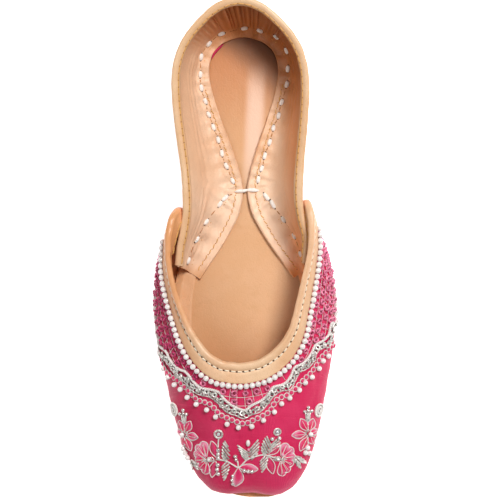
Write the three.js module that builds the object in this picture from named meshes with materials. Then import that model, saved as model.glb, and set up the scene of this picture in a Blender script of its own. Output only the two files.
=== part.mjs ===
// A flat slipper of the south asian kind: a silk vamp with side wings, a separate leather-lined
// quarter whose front ends tuck inside the wings, rolled leather bindings on both top edges,
// and a thin leather sole with a narrow waist. One straight last, the same for either foot.
// Millimetres. X runs across the shoe, Y from the toe (-) to the heel (+), Z up from the floor.
import * as THREE from 'three';

// Driving dimensions
const shoeLength = 250;       // toe tip of the sole to the back of the collar
const ballWidth = 88;         // widest across the vamp
const collarWidth = 65.5;      // widest across the quarter's top edge
const instepHeight = 38;      // throat edge of the vamp above the floor
const heelHeight = 53;        // back of the collar above the floor
const soleBallWidth = 77;     // sole under the ball of the foot
const soleWaistWidth = 40;    // sole at its narrow waist
const soleHeelWidth = 52;     // sole under the heel
const soleEdgeRound = 0.7;     // rounding of the sole's lower edge
const soleThickness = 4.5;    // leather under the forefoot
const heelThickness = 7.5;    // leather under the heel
const archRise = 1.6;         // underside of the waist above the floor
const toeSpring = 5;          // underside of the toe tip above the floor
const insoleThickness = 2.2;  // padded sock
const insoleEdgeRound = 0.6;  // rounding of the sock's upper edge
const insoleCrown = 0.7;      // how far the sock's middle stands above its edge
const upperWall = 1.9;        // outer cloth, stiffener and lining together
const edgeWall = 1.2;         // the same, skived where a binding folds over it
const skiveDepth = 8;         // how far down the skived part reaches
const soleLedge = 1.4;        // sole showing outside the upper
const toeLedge = 3;           // the same at the toe tip, where the cloth is notched
const marginThickness = 1.5;  // turned-in edge of the quarter, sewn flat on the sock
const vampMarginWidth = 5.5;  // turned-in lining of the vamp
const vampMarginThickness = 1.1;
const bindingThickness = 0.8;
const vampBindingDepth = 9.2;     // tan band on the outside of the vamp
const vampBindingInside = 5;      // the same leather folded to the inside
const quarterBindingDepth = 5.5;
const quarterBindingInside = 2.6;
const bandWidth = 4.4;        // raised silver band on the vamp
const bandHeight = 0.9;
const bandOffset = 20;        // from the throat edge to the band's middle
const bindingEnd = 0.05;      // share of the vamp's edge left bare at the back of each wing
const clearance = 0.3;        // between pieces that meet

// Shares of the sizes above, one row for each section

// Outline of the sole, from the back of the heel down the left side, round the toe and back.
const heelHalf = soleHeelWidth / 2;
const waistHalf = soleWaistWidth / 2;
const ballHalf = soleBallWidth / 2;
const soleRows = [
  { across: 0.00, of: heelHalf, along: 0.454 },
  { across: -0.48, of: heelHalf, along: 0.442 },
  { across: -0.84, of: heelHalf, along: 0.407 },
  { across: -1.00, of: heelHalf, along: 0.350 },
  { across: -0.95, of: heelHalf, along: 0.290 },
  { across: -1.12, of: waistHalf, along: 0.230 },
  { across: -1.02, of: waistHalf, along: 0.170 },
  { across: -1.02, of: waistHalf, along: 0.115 },
  { across: -1.27, of: waistHalf, along: 0.055 },
  { across: -0.84, of: ballHalf, along: -0.005 },
  { across: -0.97, of: ballHalf, along: -0.085 },
  { across: -1.00, of: ballHalf, along: -0.170 },
  { across: -0.97, of: ballHalf, along: -0.250 },
  { across: -0.89, of: ballHalf, along: -0.325 },
  { across: -0.78, of: ballHalf, along: -0.400 },
  { across: -0.61, of: ballHalf, along: -0.460 },
  { across: -0.34, of: ballHalf, along: -0.493 },
  { across: 0.09, of: ballHalf, along: -0.506 },
  { across: 0.40, of: ballHalf, along: -0.498 },
  { across: 0.64, of: ballHalf, along: -0.460 },
  { across: 0.79, of: ballHalf, along: -0.400 },
  { across: 0.89, of: ballHalf, along: -0.325 },
  { across: 0.97, of: ballHalf, along: -0.250 },
  { across: 1.00, of: ballHalf, along: -0.170 },
  { across: 0.97, of: ballHalf, along: -0.085 },
  { across: 0.84, of: ballHalf, along: -0.005 },
  { across: 1.27, of: waistHalf, along: 0.055 },
  { across: 1.02, of: waistHalf, along: 0.115 },
  { across: 1.02, of: waistHalf, along: 0.170 },
  { across: 1.12, of: waistHalf, along: 0.230 },
  { across: 0.95, of: heelHalf, along: 0.290 },
  { across: 1.00, of: heelHalf, along: 0.350 },
  { across: 0.84, of: heelHalf, along: 0.407 },
  { across: 0.48, of: heelHalf, along: 0.442 },
];

// The vamp, from the low back corner of the left wing, up round its ear, along the throat edge
// and down the right wing. topX and footX are shares of half the ball width, topY and footY of
// the length, topZ of the instep height. heading is the way the leather runs down from the edge,
// in degrees anticlockwise from +X, and slope how steeply. lip, bulge and rise shape the wall
// between edge and sole, as shares of the instep height. toe is 1 where the cloth is notched.
const vampRows = [
  { topX: -0.590, topY: 0.068, topZ: 0.32, footX: -0.56, footY: 0.058, heading: 200, slope: 80, lip: 0.05, bulge: 0.01, rise: 0.05, toe: 0 },
  { topX: -0.680, topY: 0.078, topZ: 0.64, footX: -0.62, footY: 0.030, heading: 262, slope: 45, lip: 0.20, bulge: 0.06, rise: 0.16, toe: 0 },
  { topX: -0.735, topY: 0.080, topZ: 0.93, footX: -0.72, footY: -0.004, heading: 258, slope: 45, lip: 0.30, bulge: 0.14, rise: 0.26, toe: 0 },
  { topX: -0.800, topY: 0.064, topZ: 1.09, footX: -0.78, footY: -0.040, heading: 245, slope: 60, lip: 0.34, bulge: 0.24, rise: 0.31, toe: 0 },
  { topX: -0.838, topY: 0.036, topZ: 1.13, footX: -0.81, footY: -0.070, heading: 225, slope: 70, lip: 0.36, bulge: 0.34, rise: 0.34, toe: 0 },
  { topX: -0.850, topY: 0.000, topZ: 1.12, footX: -0.84, footY: -0.098, heading: 210, slope: 72, lip: 0.36, bulge: 0.42, rise: 0.34, toe: 0 },
  { topX: -0.838, topY: -0.038, topZ: 1.10, footX: -0.86, footY: -0.128, heading: 203, slope: 71, lip: 0.36, bulge: 0.47, rise: 0.34, toe: 0 },
  { topX: -0.790, topY: -0.080, topZ: 1.07, footX: -0.87, footY: -0.160, heading: 204, slope: 71, lip: 0.37, bulge: 0.49, rise: 0.34, toe: 0 },
  { topX: -0.710, topY: -0.124, topZ: 1.04, footX: -0.86, footY: -0.208, heading: 211, slope: 64, lip: 0.42, bulge: 0.46, rise: 0.34, toe: 0 },
  { topX: -0.600, topY: -0.166, topZ: 1.02, footX: -0.83, footY: -0.270, heading: 222, slope: 44, lip: 0.52, bulge: 0.40, rise: 0.33, toe: 0 },
  { topX: -0.450, topY: -0.204, topZ: 1.00, footX: -0.75, footY: -0.345, heading: 229, slope: 27, lip: 0.68, bulge: 0.36, rise: 0.33, toe: 0 },
  { topX: -0.285, topY: -0.225, topZ: 1.00, footX: -0.58, footY: -0.430, heading: 243, slope: 14, lip: 0.86, bulge: 0.33, rise: 0.34, toe: 0 },
  { topX: -0.170, topY: -0.229, topZ: 1.00, footX: -0.34, footY: -0.480, heading: 256, slope: 10, lip: 0.94, bulge: 0.40, rise: 0.35, toe: 0.1 },
  { topX: -0.060, topY: -0.231, topZ: 1.00, footX: 0.03, footY: -0.490, heading: 268, slope: 9, lip: 0.96, bulge: 0.14, rise: 0.35, toe: 1 },
  { topX: 0.070, topY: -0.228, topZ: 1.00, footX: 0.36, footY: -0.480, heading: 282, slope: 10, lip: 0.94, bulge: 0.38, rise: 0.35, toe: 0.4 },
  { topX: 0.190, topY: -0.221, topZ: 1.00, footX: 0.59, footY: -0.430, heading: 298, slope: 14, lip: 0.86, bulge: 0.34, rise: 0.34, toe: 0 },
  { topX: 0.375, topY: -0.198, topZ: 1.00, footX: 0.75, footY: -0.345, heading: 308, slope: 27, lip: 0.68, bulge: 0.35, rise: 0.33, toe: 0 },
  { topX: 0.522, topY: -0.161, topZ: 1.02, footX: 0.83, footY: -0.270, heading: 318, slope: 44, lip: 0.52, bulge: 0.37, rise: 0.33, toe: 0 },
  { topX: 0.598, topY: -0.116, topZ: 1.04, footX: 0.86, footY: -0.208, heading: 329, slope: 59, lip: 0.42, bulge: 0.45, rise: 0.34, toe: 0 },
  { topX: 0.667, topY: -0.068, topZ: 1.07, footX: 0.87, footY: -0.160, heading: 336, slope: 67, lip: 0.37, bulge: 0.47, rise: 0.34, toe: 0 },
  { topX: 0.728, topY: -0.024, topZ: 1.10, footX: 0.86, footY: -0.128, heading: 337, slope: 71, lip: 0.36, bulge: 0.46, rise: 0.34, toe: 0 },
  { topX: 0.765, topY: 0.014, topZ: 1.12, footX: 0.84, footY: -0.098, heading: 330, slope: 72, lip: 0.36, bulge: 0.41, rise: 0.34, toe: 0 },
  { topX: 0.775, topY: 0.050, topZ: 1.13, footX: 0.81, footY: -0.070, heading: 315, slope: 70, lip: 0.36, bulge: 0.32, rise: 0.34, toe: 0 },
  { topX: 0.755, topY: 0.078, topZ: 1.08, footX: 0.78, footY: -0.040, heading: 295, slope: 60, lip: 0.34, bulge: 0.24, rise: 0.31, toe: 0 },
  { topX: 0.715, topY: 0.092, topZ: 0.92, footX: 0.72, footY: -0.004, heading: 282, slope: 45, lip: 0.30, bulge: 0.14, rise: 0.26, toe: 0 },
  { topX: 0.665, topY: 0.088, topZ: 0.64, footX: 0.62, footY: 0.030, heading: 278, slope: 45, lip: 0.20, bulge: 0.06, rise: 0.16, toe: 0 },
  { topX: 0.590, topY: 0.074, topZ: 0.32, footX: 0.56, footY: 0.058, heading: 340, slope: 80, lip: 0.05, bulge: 0.01, rise: 0.05, toe: 0 },
];

// Right half of the quarter, from its front end inside the wing to the back of the heel. topX and
// edgeX are shares of half the collar width, topY and edgeY of the length, topZ of the heel
// height. edge is the free edge of the turned-in margin, footY where the wall meets the sole.
// tuck is 1 inside the wing, hollow softens the corner between wall and margin, as a share of
// the heel height, and belly pushes the wall out, as a share of its own height.
const quarterRows = [
  { topX: 1.030, topY: -0.034, topZ: 0.64, edgeX: 0.735, edgeY: -0.060, footX: 0.93, footY: -0.043, tuck: 1, hollow: 0.05, belly: 0.01 },
  { topX: 0.990, topY: 0.003, topZ: 0.68, edgeX: 0.555, edgeY: -0.025, footX: 0.82, footY: -0.012, tuck: 1, hollow: 0.07, belly: 0.00 },
  { topX: 0.930, topY: 0.036, topZ: 0.71, edgeX: 0.400, edgeY: 0.004, footX: 0.70, footY: 0.020, tuck: 1, hollow: 0.10, belly: -0.01 },
  { topX: 0.885, topY: 0.068, topZ: 0.74, edgeX: 0.255, edgeY: 0.036, footX: 0.58, footY: 0.056, tuck: 1, hollow: 0.15, belly: -0.02 },
  { topX: 0.872, topY: 0.098, topZ: 0.76, edgeX: 0.120, edgeY: 0.072, footX: 0.52, footY: 0.088, tuck: 0.7, hollow: 0.19, belly: -0.02 },
  { topX: 0.876, topY: 0.126, topZ: 0.775, edgeX: 0.050, edgeY: 0.116, footX: 0.50, footY: 0.120, tuck: 0.2, hollow: 0.20, belly: -0.02 },
  { topX: 0.900, topY: 0.168, topZ: 0.79, edgeX: 0.085, edgeY: 0.150, footX: 0.52, footY: 0.160, tuck: 0, hollow: 0.17, belly: -0.01 },
  { topX: 0.945, topY: 0.220, topZ: 0.815, edgeX: 0.210, edgeY: 0.204, footX: 0.60, footY: 0.214, tuck: 0, hollow: 0.13, belly: 0.00 },
  { topX: 0.985, topY: 0.274, topZ: 0.85, edgeX: 0.350, edgeY: 0.258, footX: 0.66, footY: 0.266, tuck: 0, hollow: 0.09, belly: 0.02 },
  { topX: 1.000, topY: 0.322, topZ: 0.885, edgeX: 0.475, edgeY: 0.312, footX: 0.70, footY: 0.318, tuck: 0, hollow: 0.06, belly: 0.03 },
  { topX: 0.968, topY: 0.362, topZ: 0.920, edgeX: 0.535, edgeY: 0.358, footX: 0.70, footY: 0.360, tuck: 0, hollow: 0.05, belly: 0.04 },
  { topX: 0.855, topY: 0.402, topZ: 0.950, edgeX: 0.480, edgeY: 0.394, footX: 0.60, footY: 0.398, tuck: 0, hollow: 0.05, belly: 0.04 },
  { topX: 0.650, topY: 0.438, topZ: 0.975, edgeX: 0.345, edgeY: 0.414, footX: 0.46, footY: 0.426, tuck: 0, hollow: 0.05, belly: 0.04 },
  { topX: 0.350, topY: 0.4725, topZ: 0.992, edgeX: 0.180, edgeY: 0.424, footX: 0.24, footY: 0.446, tuck: 0, hollow: 0.05, belly: 0.04 },
  { topX: 0.000, topY: 0.4865, topZ: 1.000, edgeX: 0.000, edgeY: 0.4285, footX: 0.00, footY: 0.454, tuck: 0, hollow: 0.05, belly: 0.04 },
];

// Where the floor line of the sole and its thickness change, as shares of the length.
const profile = { toeStart: -0.30, toeTip: -0.507, archFront: -0.01, archMid: 0.11, archBack: 0.22 };

// Steps across the thickness of the sole, from the floor up: two layers of leather with a seam
// between them. rise is a share of the thickness, inset is in from the outline over the rounding.
const soleSteps = [
  { rise: 0.00, inset: 1.00 },
  { rise: 0.12, inset: 0.15 },
  { rise: 0.46, inset: 0.00 },
  { rise: 0.54, inset: 0.70 },
  { rise: 0.62, inset: 0.00 },
  { rise: 1.00, inset: 0.40 },
];

// Dips and peaks of the silver band, from the left side of the vamp to the right: at is the
// share of the way round the throat edge, out is the distance from the edge over bandOffset.
const bandRows = [
  { at: 0.285, out: 0.62 }, { at: 0.315, out: 0.92 }, { at: 0.340, out: 0.86 }, { at: 0.365, out: 1.06 },
  { at: 0.395, out: 1.00 }, { at: 0.425, out: 1.08 }, { at: 0.445, out: 1.02 }, { at: 0.475, out: 1.22 },
  { at: 0.500, out: 1.34 }, { at: 0.525, out: 1.22 }, { at: 0.555, out: 1.02 }, { at: 0.575, out: 1.08 },
  { at: 0.605, out: 1.00 }, { at: 0.635, out: 1.06 }, { at: 0.660, out: 0.86 }, { at: 0.685, out: 0.92 },
  { at: 0.715, out: 0.62 },
];

// How finely each piece is divided
const soleStations = 38;
const insoleStations = 32;
const vampRings = 64;
const vampSteps = 11;
const quarterRings = 46;
const wallSteps = 5;
const hollowSteps = 4;
const marginRings = 30;
const bandRings = 80;
const outlinePoints = 420;

// Helpers

const up = new THREE.Vector3(0, 0, 1);

function smooth(from, to, value) {
  const t = THREE.MathUtils.clamp((value - from) / (to - from), 0, 1);
  return t * t * (3 - 2 * t);
}

// A smooth curve through the rows of a table, column by column; at runs from 0 to 1.
function rowAt(rows, at) {
  const place = THREE.MathUtils.clamp(at, 0, 1) * (rows.length - 1);
  const index = Math.min(Math.floor(place), rows.length - 2);
  const t = place - index;
  const before = rows[Math.max(index - 1, 0)];
  const from = rows[index];
  const to = rows[index + 1];
  const after = rows[Math.min(index + 2, rows.length - 1)];
  const result = {};
  for (const name of Object.keys(from)) {
    const start = (to[name] - before[name]) / 2;
    const end = (after[name] - from[name]) / 2;
    const t2 = t * t;
    const t3 = t2 * t;
    result[name] = (2 * t3 - 3 * t2 + 1) * from[name] + (t3 - 2 * t2 + t) * start
      + (3 * t2 - 2 * t3) * to[name] + (t3 - t2) * end;
  }
  return result;
}

// A closed body through a row of rings that have the same number of points. Each ring runs
// along one side of its section and back along the other; split is where the way back starts.
function loft(rings, split = Math.floor(rings[0].length / 2)) {
  const count = rings[0].length;
  const positions = rings.flat().flatMap((point) => [point.x, point.y, point.z]);
  const indices = [];
  for (let ring = 0; ring + 1 < rings.length; ring += 1) {
    for (let i = 0; i < count; i += 1) {
      const a = ring * count + i;
      const b = ring * count + (i + 1) % count;
      indices.push(a, b, b + count, a, b + count, a + count);
    }
  }
  const last = (rings.length - 1) * count;
  for (const [a, b, c] of endFaces(rings[0], split)) indices.push(c, b, a);
  for (const [a, b, c] of endFaces(rings[rings.length - 1], split)) indices.push(last + a, last + b, last + c);
  const geometry = new THREE.BufferGeometry();
  geometry.setAttribute('position', new THREE.Float32BufferAttribute(positions, 3));
  geometry.setIndex(signedVolume(positions, indices) < 0 ? indices.reverse() : indices);
  geometry.computeVertexNormals();
  return geometry;
}

// Triangles that close a ring, zipped from the two sides of its section.
function endFaces(ring, split) {
  const faces = [];
  let near = 0;
  let far = ring.length - 1;
  while (near < split - 1 || far > split) {
    const nearStep = near < split - 1 ? ring[near + 1].distanceTo(ring[far]) : Infinity;
    const farStep = far > split ? ring[far - 1].distanceTo(ring[near]) : Infinity;
    if (nearStep <= farStep) {
      faces.push([near, near + 1, far]);
      near += 1;
    } else {
      faces.push([near, far - 1, far]);
      far -= 1;
    }
  }
  return faces;
}

function signedVolume(positions, indices) {
  const corner = (i) => new THREE.Vector3().fromArray(positions, indices[i] * 3);
  let sum = 0;
  for (let i = 0; i < indices.length; i += 3) {
    sum += corner(i).dot(new THREE.Vector3().crossVectors(corner(i + 1), corner(i + 2)));
  }
  return sum;
}

function spread(count, from = 0, to = 1) {
  return Array.from({ length: count }, (_, i) => from + (to - from) * i / (count - 1));
}

// The sole

const soleCurve = new THREE.CatmullRomCurve3(
  soleRows.map((row) => new THREE.Vector3(row.across * row.of, row.along * shoeLength, 0)),
  true,
  'centripetal',
);
const soleOutline = soleCurve.getSpacedPoints(outlinePoints).slice(0, outlinePoints);

// The outline of the sole moved inwards by a distance, as points in the same order.
function insetOutline(inset) {
  return soleOutline.map((point, i) => {
    const before = soleOutline[(i + outlinePoints - 1) % outlinePoints];
    const after = soleOutline[(i + 1) % outlinePoints];
    const along = after.clone().sub(before).normalize();
    return point.clone().add(new THREE.Vector3(-along.y, along.x, 0).multiplyScalar(inset));
  });
}

// The nearest point of the outline, moved in by a distance, with the way out from there.
function seatOnSole(x, y, inset) {
  const guide = new THREE.Vector3(x, y, 0);
  let best = null;
  soleOutline.forEach((from, i) => {
    const to = soleOutline[(i + 1) % outlinePoints];
    const spot = new THREE.Line3(from, to).closestPointToPoint(guide, true, new THREE.Vector3());
    const gap = spot.distanceTo(guide);
    if (!best || gap < best.gap) best = { gap, spot, along: to.clone().sub(from).normalize() };
  });
  const out = new THREE.Vector3(best.along.y, -best.along.x, 0);
  return { point: best.spot.addScaledVector(out, -inset), out };
}

function soleBottomAt(y) {
  const share = y / shoeLength;
  const toe = THREE.MathUtils.clamp((profile.toeStart - share) / (profile.toeStart - profile.toeTip), 0, 1);
  const arch = smooth(profile.archFront, profile.archMid, share) * (1 - smooth(profile.archMid, profile.archBack, share));
  return toeSpring * toe * toe + archRise * arch;
}

function soleTopAt(y) {
  const share = y / shoeLength;
  const heel = smooth(profile.archFront, profile.archBack, share);
  const flat = soleThickness + (heelThickness - soleThickness) * heel;
  const toe = THREE.MathUtils.clamp((profile.toeStart - share) / (profile.toeStart - profile.toeTip), 0, 1);
  return flat + toeSpring * toe * toe;
}

// Left and right x of an outline at stations along the shoe; shares run from toe to heel.
function stationsOf(outline, shares) {
  const lowest = outline.reduce((a, b) => (b.y < a.y ? b : a));
  const highest = outline.reduce((a, b) => (b.y > a.y ? b : a));
  return shares.map((share) => {
    const y = lowest.y + (highest.y - lowest.y) * share;
    const crossings = [];
    outline.forEach((from, i) => {
      const to = outline[(i + 1) % outline.length];
      if ((from.y - y) * (to.y - y) <= 0 && from.y !== to.y) {
        crossings.push(from.x + (to.x - from.x) * (y - from.y) / (to.y - from.y));
      }
    });
    return { y, left: Math.min(...crossings), right: Math.max(...crossings) };
  });
}

// Shares from toe to heel that crowd towards both round ends.
function roundShares(count) {
  const end = 0.04;
  return spread(count, end, 1 - end).map((t) => (1 - Math.cos(Math.PI * t)) / 2);
}

function outsole() {
  const shares = roundShares(soleStations);
  const levels = soleSteps.map((step) => stationsOf(insetOutline(step.inset * soleEdgeRound), shares));
  const rings = shares.map((_, station) => {
    const heightAt = (y, rise) => THREE.MathUtils.lerp(soleBottomAt(y), soleTopAt(y), rise);
    const side = (name) => levels.map((level, i) => {
      const spot = level[station];
      return new THREE.Vector3(spot[name], spot.y, heightAt(spot.y, soleSteps[i].rise));
    });
    return [...side('left').reverse(), ...side('right')];
  });
  return loft(rings);
}

// Top of the sock; it stands a little higher in the middle.
const insoleInset = soleLedge + 2 * upperWall + 2 * clearance;

function insoleTopAt(x, y) {
  const half = 0.5 * ballWidth - insoleInset;
  const crown = insoleCrown * Math.max(0, 1 - (x / half) ** 2);
  return soleTopAt(y) + clearance + insoleThickness + crown;
}

function insole() {
  const shares = roundShares(insoleStations);
  const wide = stationsOf(insetOutline(insoleInset + clearance), shares);
  const top = stationsOf(insetOutline(insoleInset + clearance + insoleEdgeRound), shares);
  const acrossShares = [0, 0.17, 0.5, 0.83, 1];
  const rings = shares.map((_, station) => {
    const edge = wide[station];
    const face = top[station];
    const low = soleTopAt(edge.y) + clearance;
    const shoulder = low + insoleThickness - insoleEdgeRound;
    const crown = acrossShares.map((share) => {
      const x = THREE.MathUtils.lerp(face.left, face.right, share);
      return new THREE.Vector3(x, face.y, insoleTopAt(x, face.y));
    });
    return [
      new THREE.Vector3(edge.left, edge.y, low),
      new THREE.Vector3(edge.left, edge.y, shoulder),
      ...crown,
      new THREE.Vector3(edge.right, edge.y, shoulder),
      new THREE.Vector3(edge.right, edge.y, low),
    ];
  });
  return loft(rings);
}

// The vamp

// Stations along the vamp's edge, closer together at the ears of the wings and at the toe.
const vampStations = spread(vampRings).map((t) => t - 0.03 * Math.sin(4 * Math.PI * t));

// The wall of the vamp at a share of the way round, as a curve from the sole up to the edge.
function vampWall(at) {
  const row = rowAt(vampRows, at);
  const ledge = THREE.MathUtils.lerp(soleLedge, toeLedge, THREE.MathUtils.clamp(row.toe, 0, 1));
  const seat = seatOnSole(row.footX * ballWidth / 2, row.footY * shoeLength, ledge);
  const foot = seat.point.setZ(soleTopAt(seat.point.y) + clearance);
  const top = new THREE.Vector3(row.topX * ballWidth / 2, row.topY * shoeLength, row.topZ * instepHeight);
  const heading = THREE.MathUtils.degToRad(row.heading);
  const slope = THREE.MathUtils.degToRad(row.slope);
  const down = new THREE.Vector3(Math.cos(heading) * Math.cos(slope), Math.sin(heading) * Math.cos(slope), -Math.sin(slope));
  const low = foot.clone().addScaledVector(seat.out, row.bulge * instepHeight).addScaledVector(up, row.rise * instepHeight);
  const high = top.clone().addScaledVector(down, row.lip * instepHeight);
  return new THREE.CubicBezierCurve3(foot, low, high, top);
}

const probe = 0.01;

// A point of the vamp's outer face, a distance down from the edge, with the way out from it.
function vampFace(at, depth) {
  const wall = vampWall(at);
  const share = 1 - Math.min(depth / wall.getLength(), 1);
  return faceOf(vampWall, at, wall.getUtoTmapping(Math.max(share, 0)));
}

function faceOf(wallAt, at, t) {
  const point = wallAt(at).getPoint(t);
  const from = wallAt(Math.max(at - probe, 0)).getPoint(t);
  const to = wallAt(Math.min(at + probe, 1)).getPoint(t);
  const rise = wallAt(at).getTangent(t);
  const out = new THREE.Vector3().crossVectors(to.sub(from), rise).normalize();
  return { point, out, rise };
}

// Thickness of an upper's wall, thinner near its top edge.
function wallAtDepth(depth) {
  return THREE.MathUtils.lerp(edgeWall, upperWall, smooth(0, skiveDepth, depth));
}

function vamp() {
  const rings = vampStations.map((at) => {
    const wall = vampWall(at);
    const length = wall.getLength();
    const outer = [];
    const inner = [];
    for (const share of spread(vampSteps)) {
      const face = faceOf(vampWall, at, wall.getUtoTmapping(share));
      const thickness = wallAtDepth(length * (1 - share));
      outer.push(face.point);
      const inside = face.point.clone().addScaledVector(face.out, -thickness);
      const floor = soleTopAt(inside.y) + clearance;
      inner.push(share === 0 ? inside.setZ(floor) : inside);
    }
    return [...outer, ...inner.reverse()];
  });
  return loft(rings);
}

// The quarter

const quarterStations = spread(quarterRings);
const vampShell = new THREE.Mesh(vamp(), new THREE.MeshBasicMaterial({ side: THREE.DoubleSide }));

// Moves a point of the quarter inwards until it stands clear of the inside of a wing. High up
// there are two bindings between them, and the wing's own binding reaches past its edge.
function insideWing(point, share) {
  const bindings = 2 * (bindingThickness + clearance);
  const room = 1.5 * clearance + (bindings + clearance) * smooth(0.2, 0.75, share);
  const side = Math.sign(point.x) || 1;
  const distances = [0, -2 * (bindingThickness + clearance), -4 * (bindingThickness + clearance)].map((reach) => {
    const origin = new THREE.Vector3(0, point.y + reach, point.z);
    const [hit] = new THREE.Raycaster(origin, new THREE.Vector3(side, 0, 0)).intersectObject(vampShell);
    return hit ? hit.distance : Infinity;
  });
  const limit = Math.min(...distances) - room;
  return limit < side * point.x ? point.clone().setX(side * limit) : point;
}

const quarterMirror = [...quarterRows].reverse().slice(1).map((row) => ({
  ...row, topX: -row.topX, edgeX: -row.edgeX, footX: -row.footX,
}));
const quarterFull = [...quarterRows, ...quarterMirror];

// Where one section of the quarter has its sole seat, its top edge and its margin's free edge.
function quarterPlan(at) {
  const row = rowAt(quarterFull, at);
  const tuckIn = soleLedge + THREE.MathUtils.clamp(row.tuck, 0, 1) * (upperWall + 2 * clearance);
  const seat = seatOnSole(row.footX * collarWidth / 2, row.footY * shoeLength, tuckIn);
  const foot = seat.point.setZ(soleTopAt(seat.point.y) + clearance);
  const top = new THREE.Vector3(row.topX * collarWidth / 2, row.topY * shoeLength, row.topZ * heelHeight);
  const edge = new THREE.Vector3(row.edgeX * collarWidth / 2, row.edgeY * shoeLength, 0);
  return { row, foot, top, edge, out: seat.out };
}

function quarterWall(at) {
  const { row, foot, top, out } = quarterPlan(at);
  const height = top.z - foot.z;
  const push = out.clone().multiplyScalar(row.belly * height);
  const low = insideWing(foot.clone().lerp(top, 0.33).add(push), 0.33);
  const high = insideWing(foot.clone().lerp(top, 0.67).add(push), 0.67);
  return new THREE.CubicBezierCurve3(insideWing(foot, 0), low, high, insideWing(top, 1));
}

// One ring of the quarter: back under the margin to the sole, up the outer face, over the edge,
// down the lining, round the hollow corner and out along the margin that lies on the sock.
function quarterRing(at) {
  const { row, foot, edge } = quarterPlan(at);
  const wall = quarterWall(at);
  const length = wall.getLength();
  const outer = [];
  const lining = [];
  for (const share of spread(wallSteps + 1)) {
    const face = faceOf(quarterWall, at, wall.getUtoTmapping(share));
    outer.push(face.point);
    lining.push(face.point.clone().addScaledVector(face.out, -wallAtDepth(length * (1 - share))));
  }
  const inward = edge.clone().setZ(0).sub(foot.clone().setZ(0)).normalize();
  const legInside = foot.clone().addScaledVector(inward, upperWall);
  const underside = (point) => insoleTopAt(point.x, point.y) + clearance;
  const marginTop = (point) => underside(point) + marginThickness;
  const corner = legInside.clone().setZ(marginTop(legInside));
  const hollow = row.hollow * heelHeight;
  const reach = Math.min(hollow, 0.75 * corner.clone().setZ(0).distanceTo(edge));
  const wallShare = (corner.z - foot.z + hollow) / (lining[wallSteps].z - foot.z);
  const wallStart = lining[0].clone().lerp(lining[wallSteps], wallShare);
  const marginStart = corner.clone().addScaledVector(inward, reach);
  marginStart.setZ(marginTop(marginStart));
  const curve = new THREE.QuadraticBezierCurve3(wallStart, corner, marginStart);
  const keep = spread(wallSteps + 1).map((_, i) => lining[i]).filter((point) => point.z > wallStart.z + 1);
  while (keep.length < wallSteps - 1) keep.unshift(wallStart.clone().lerp(keep[0], 0.5));
  const liningDown = keep.slice(keep.length - (wallSteps - 1)).reverse();
  const edgeTop = edge.clone().setZ(marginTop(edge));
  const edgeLow = edge.clone().setZ(underside(edge));
  const middle = marginStart.clone().lerp(edgeTop, 0.5);
  const middleTop = middle.clone().setZ(marginTop(middle));
  const middleLow = middle.clone().setZ(underside(middle));
  const legTop = legInside.clone().setZ(underside(legInside));
  const legLow = legInside.clone().setZ(soleTopAt(legInside.y) + clearance);
  return [
    edgeLow, middleLow, legTop, legLow, ...outer,
    ...liningDown, ...spread(hollowSteps).map((t) => curve.getPoint(t)), middleTop, edgeTop,
  ];
}

function quarter() {
  return loft(quarterStations.map(quarterRing));
}

// Bindings: leather folded over a top edge, as a thin channel that stands clear of the wall

const fit = 1.5 * clearance;

function bindingRing(wallAt, at, outside, inside) {
  const wall = wallAt(at);
  const length = wall.getLength();
  const faceAt = (depth) => faceOf(wallAt, at, wall.getUtoTmapping(1 - depth / length));
  const shift = (depth, distance) => {
    const face = faceAt(depth);
    return face.point.clone().addScaledVector(face.out, distance);
  };
  const outDepth = Math.min(outside, 0.72 * length);
  const inDepth = Math.min(inside, 0.6 * length);
  const innerGap = (depth) => -wallAtDepth(depth) - fit - clearance / 2;
  const edge = faceAt(0);
  const over = (distance, climb) => edge.point.clone().addScaledVector(edge.out, distance).addScaledVector(edge.rise, climb);
  const skin = fit + bindingThickness;
  const middle = -edgeWall / 2;
  return [
    shift(outDepth, fit),
    shift(outDepth, fit + 0.6 * bindingThickness),
    shift(outDepth * 0.55, skin),
    shift(outDepth * 0.12, skin),
    over(middle + 0.55 * (edgeWall / 2 + skin), skin),
    over(middle - 0.55 * (edgeWall / 2 + skin), skin),
    shift(inDepth * 0.2, innerGap(inDepth * 0.2) - bindingThickness),
    shift(inDepth, innerGap(inDepth) - 0.6 * bindingThickness),
    shift(inDepth, innerGap(inDepth)),
    over(-edgeWall - fit, fit),
    over(fit, fit),
    shift(outDepth * 0.3, fit),
    shift(outDepth * 0.65, fit),
  ];
}

const bindingSplit = 8;

// The leather stops part of the way down the back of each wing.
function vampBinding() {
  const stations = vampStations.filter((at) => at > bindingEnd && at < 1 - bindingEnd);
  return loft(stations.map((at) => {
    const taper = smooth(0, 0.38, Math.min(at, 1 - at));
    return bindingRing(vampWall, at, vampBindingDepth * (0.6 + 0.4 * taper), vampBindingInside);
  }), bindingSplit);
}

function quarterBinding() {
  const stations = quarterStations.slice(1, -1);
  return loft(stations.map((at) => {
    return bindingRing(quarterWall, at, quarterBindingDepth, quarterBindingInside);
  }), bindingSplit);
}

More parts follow.
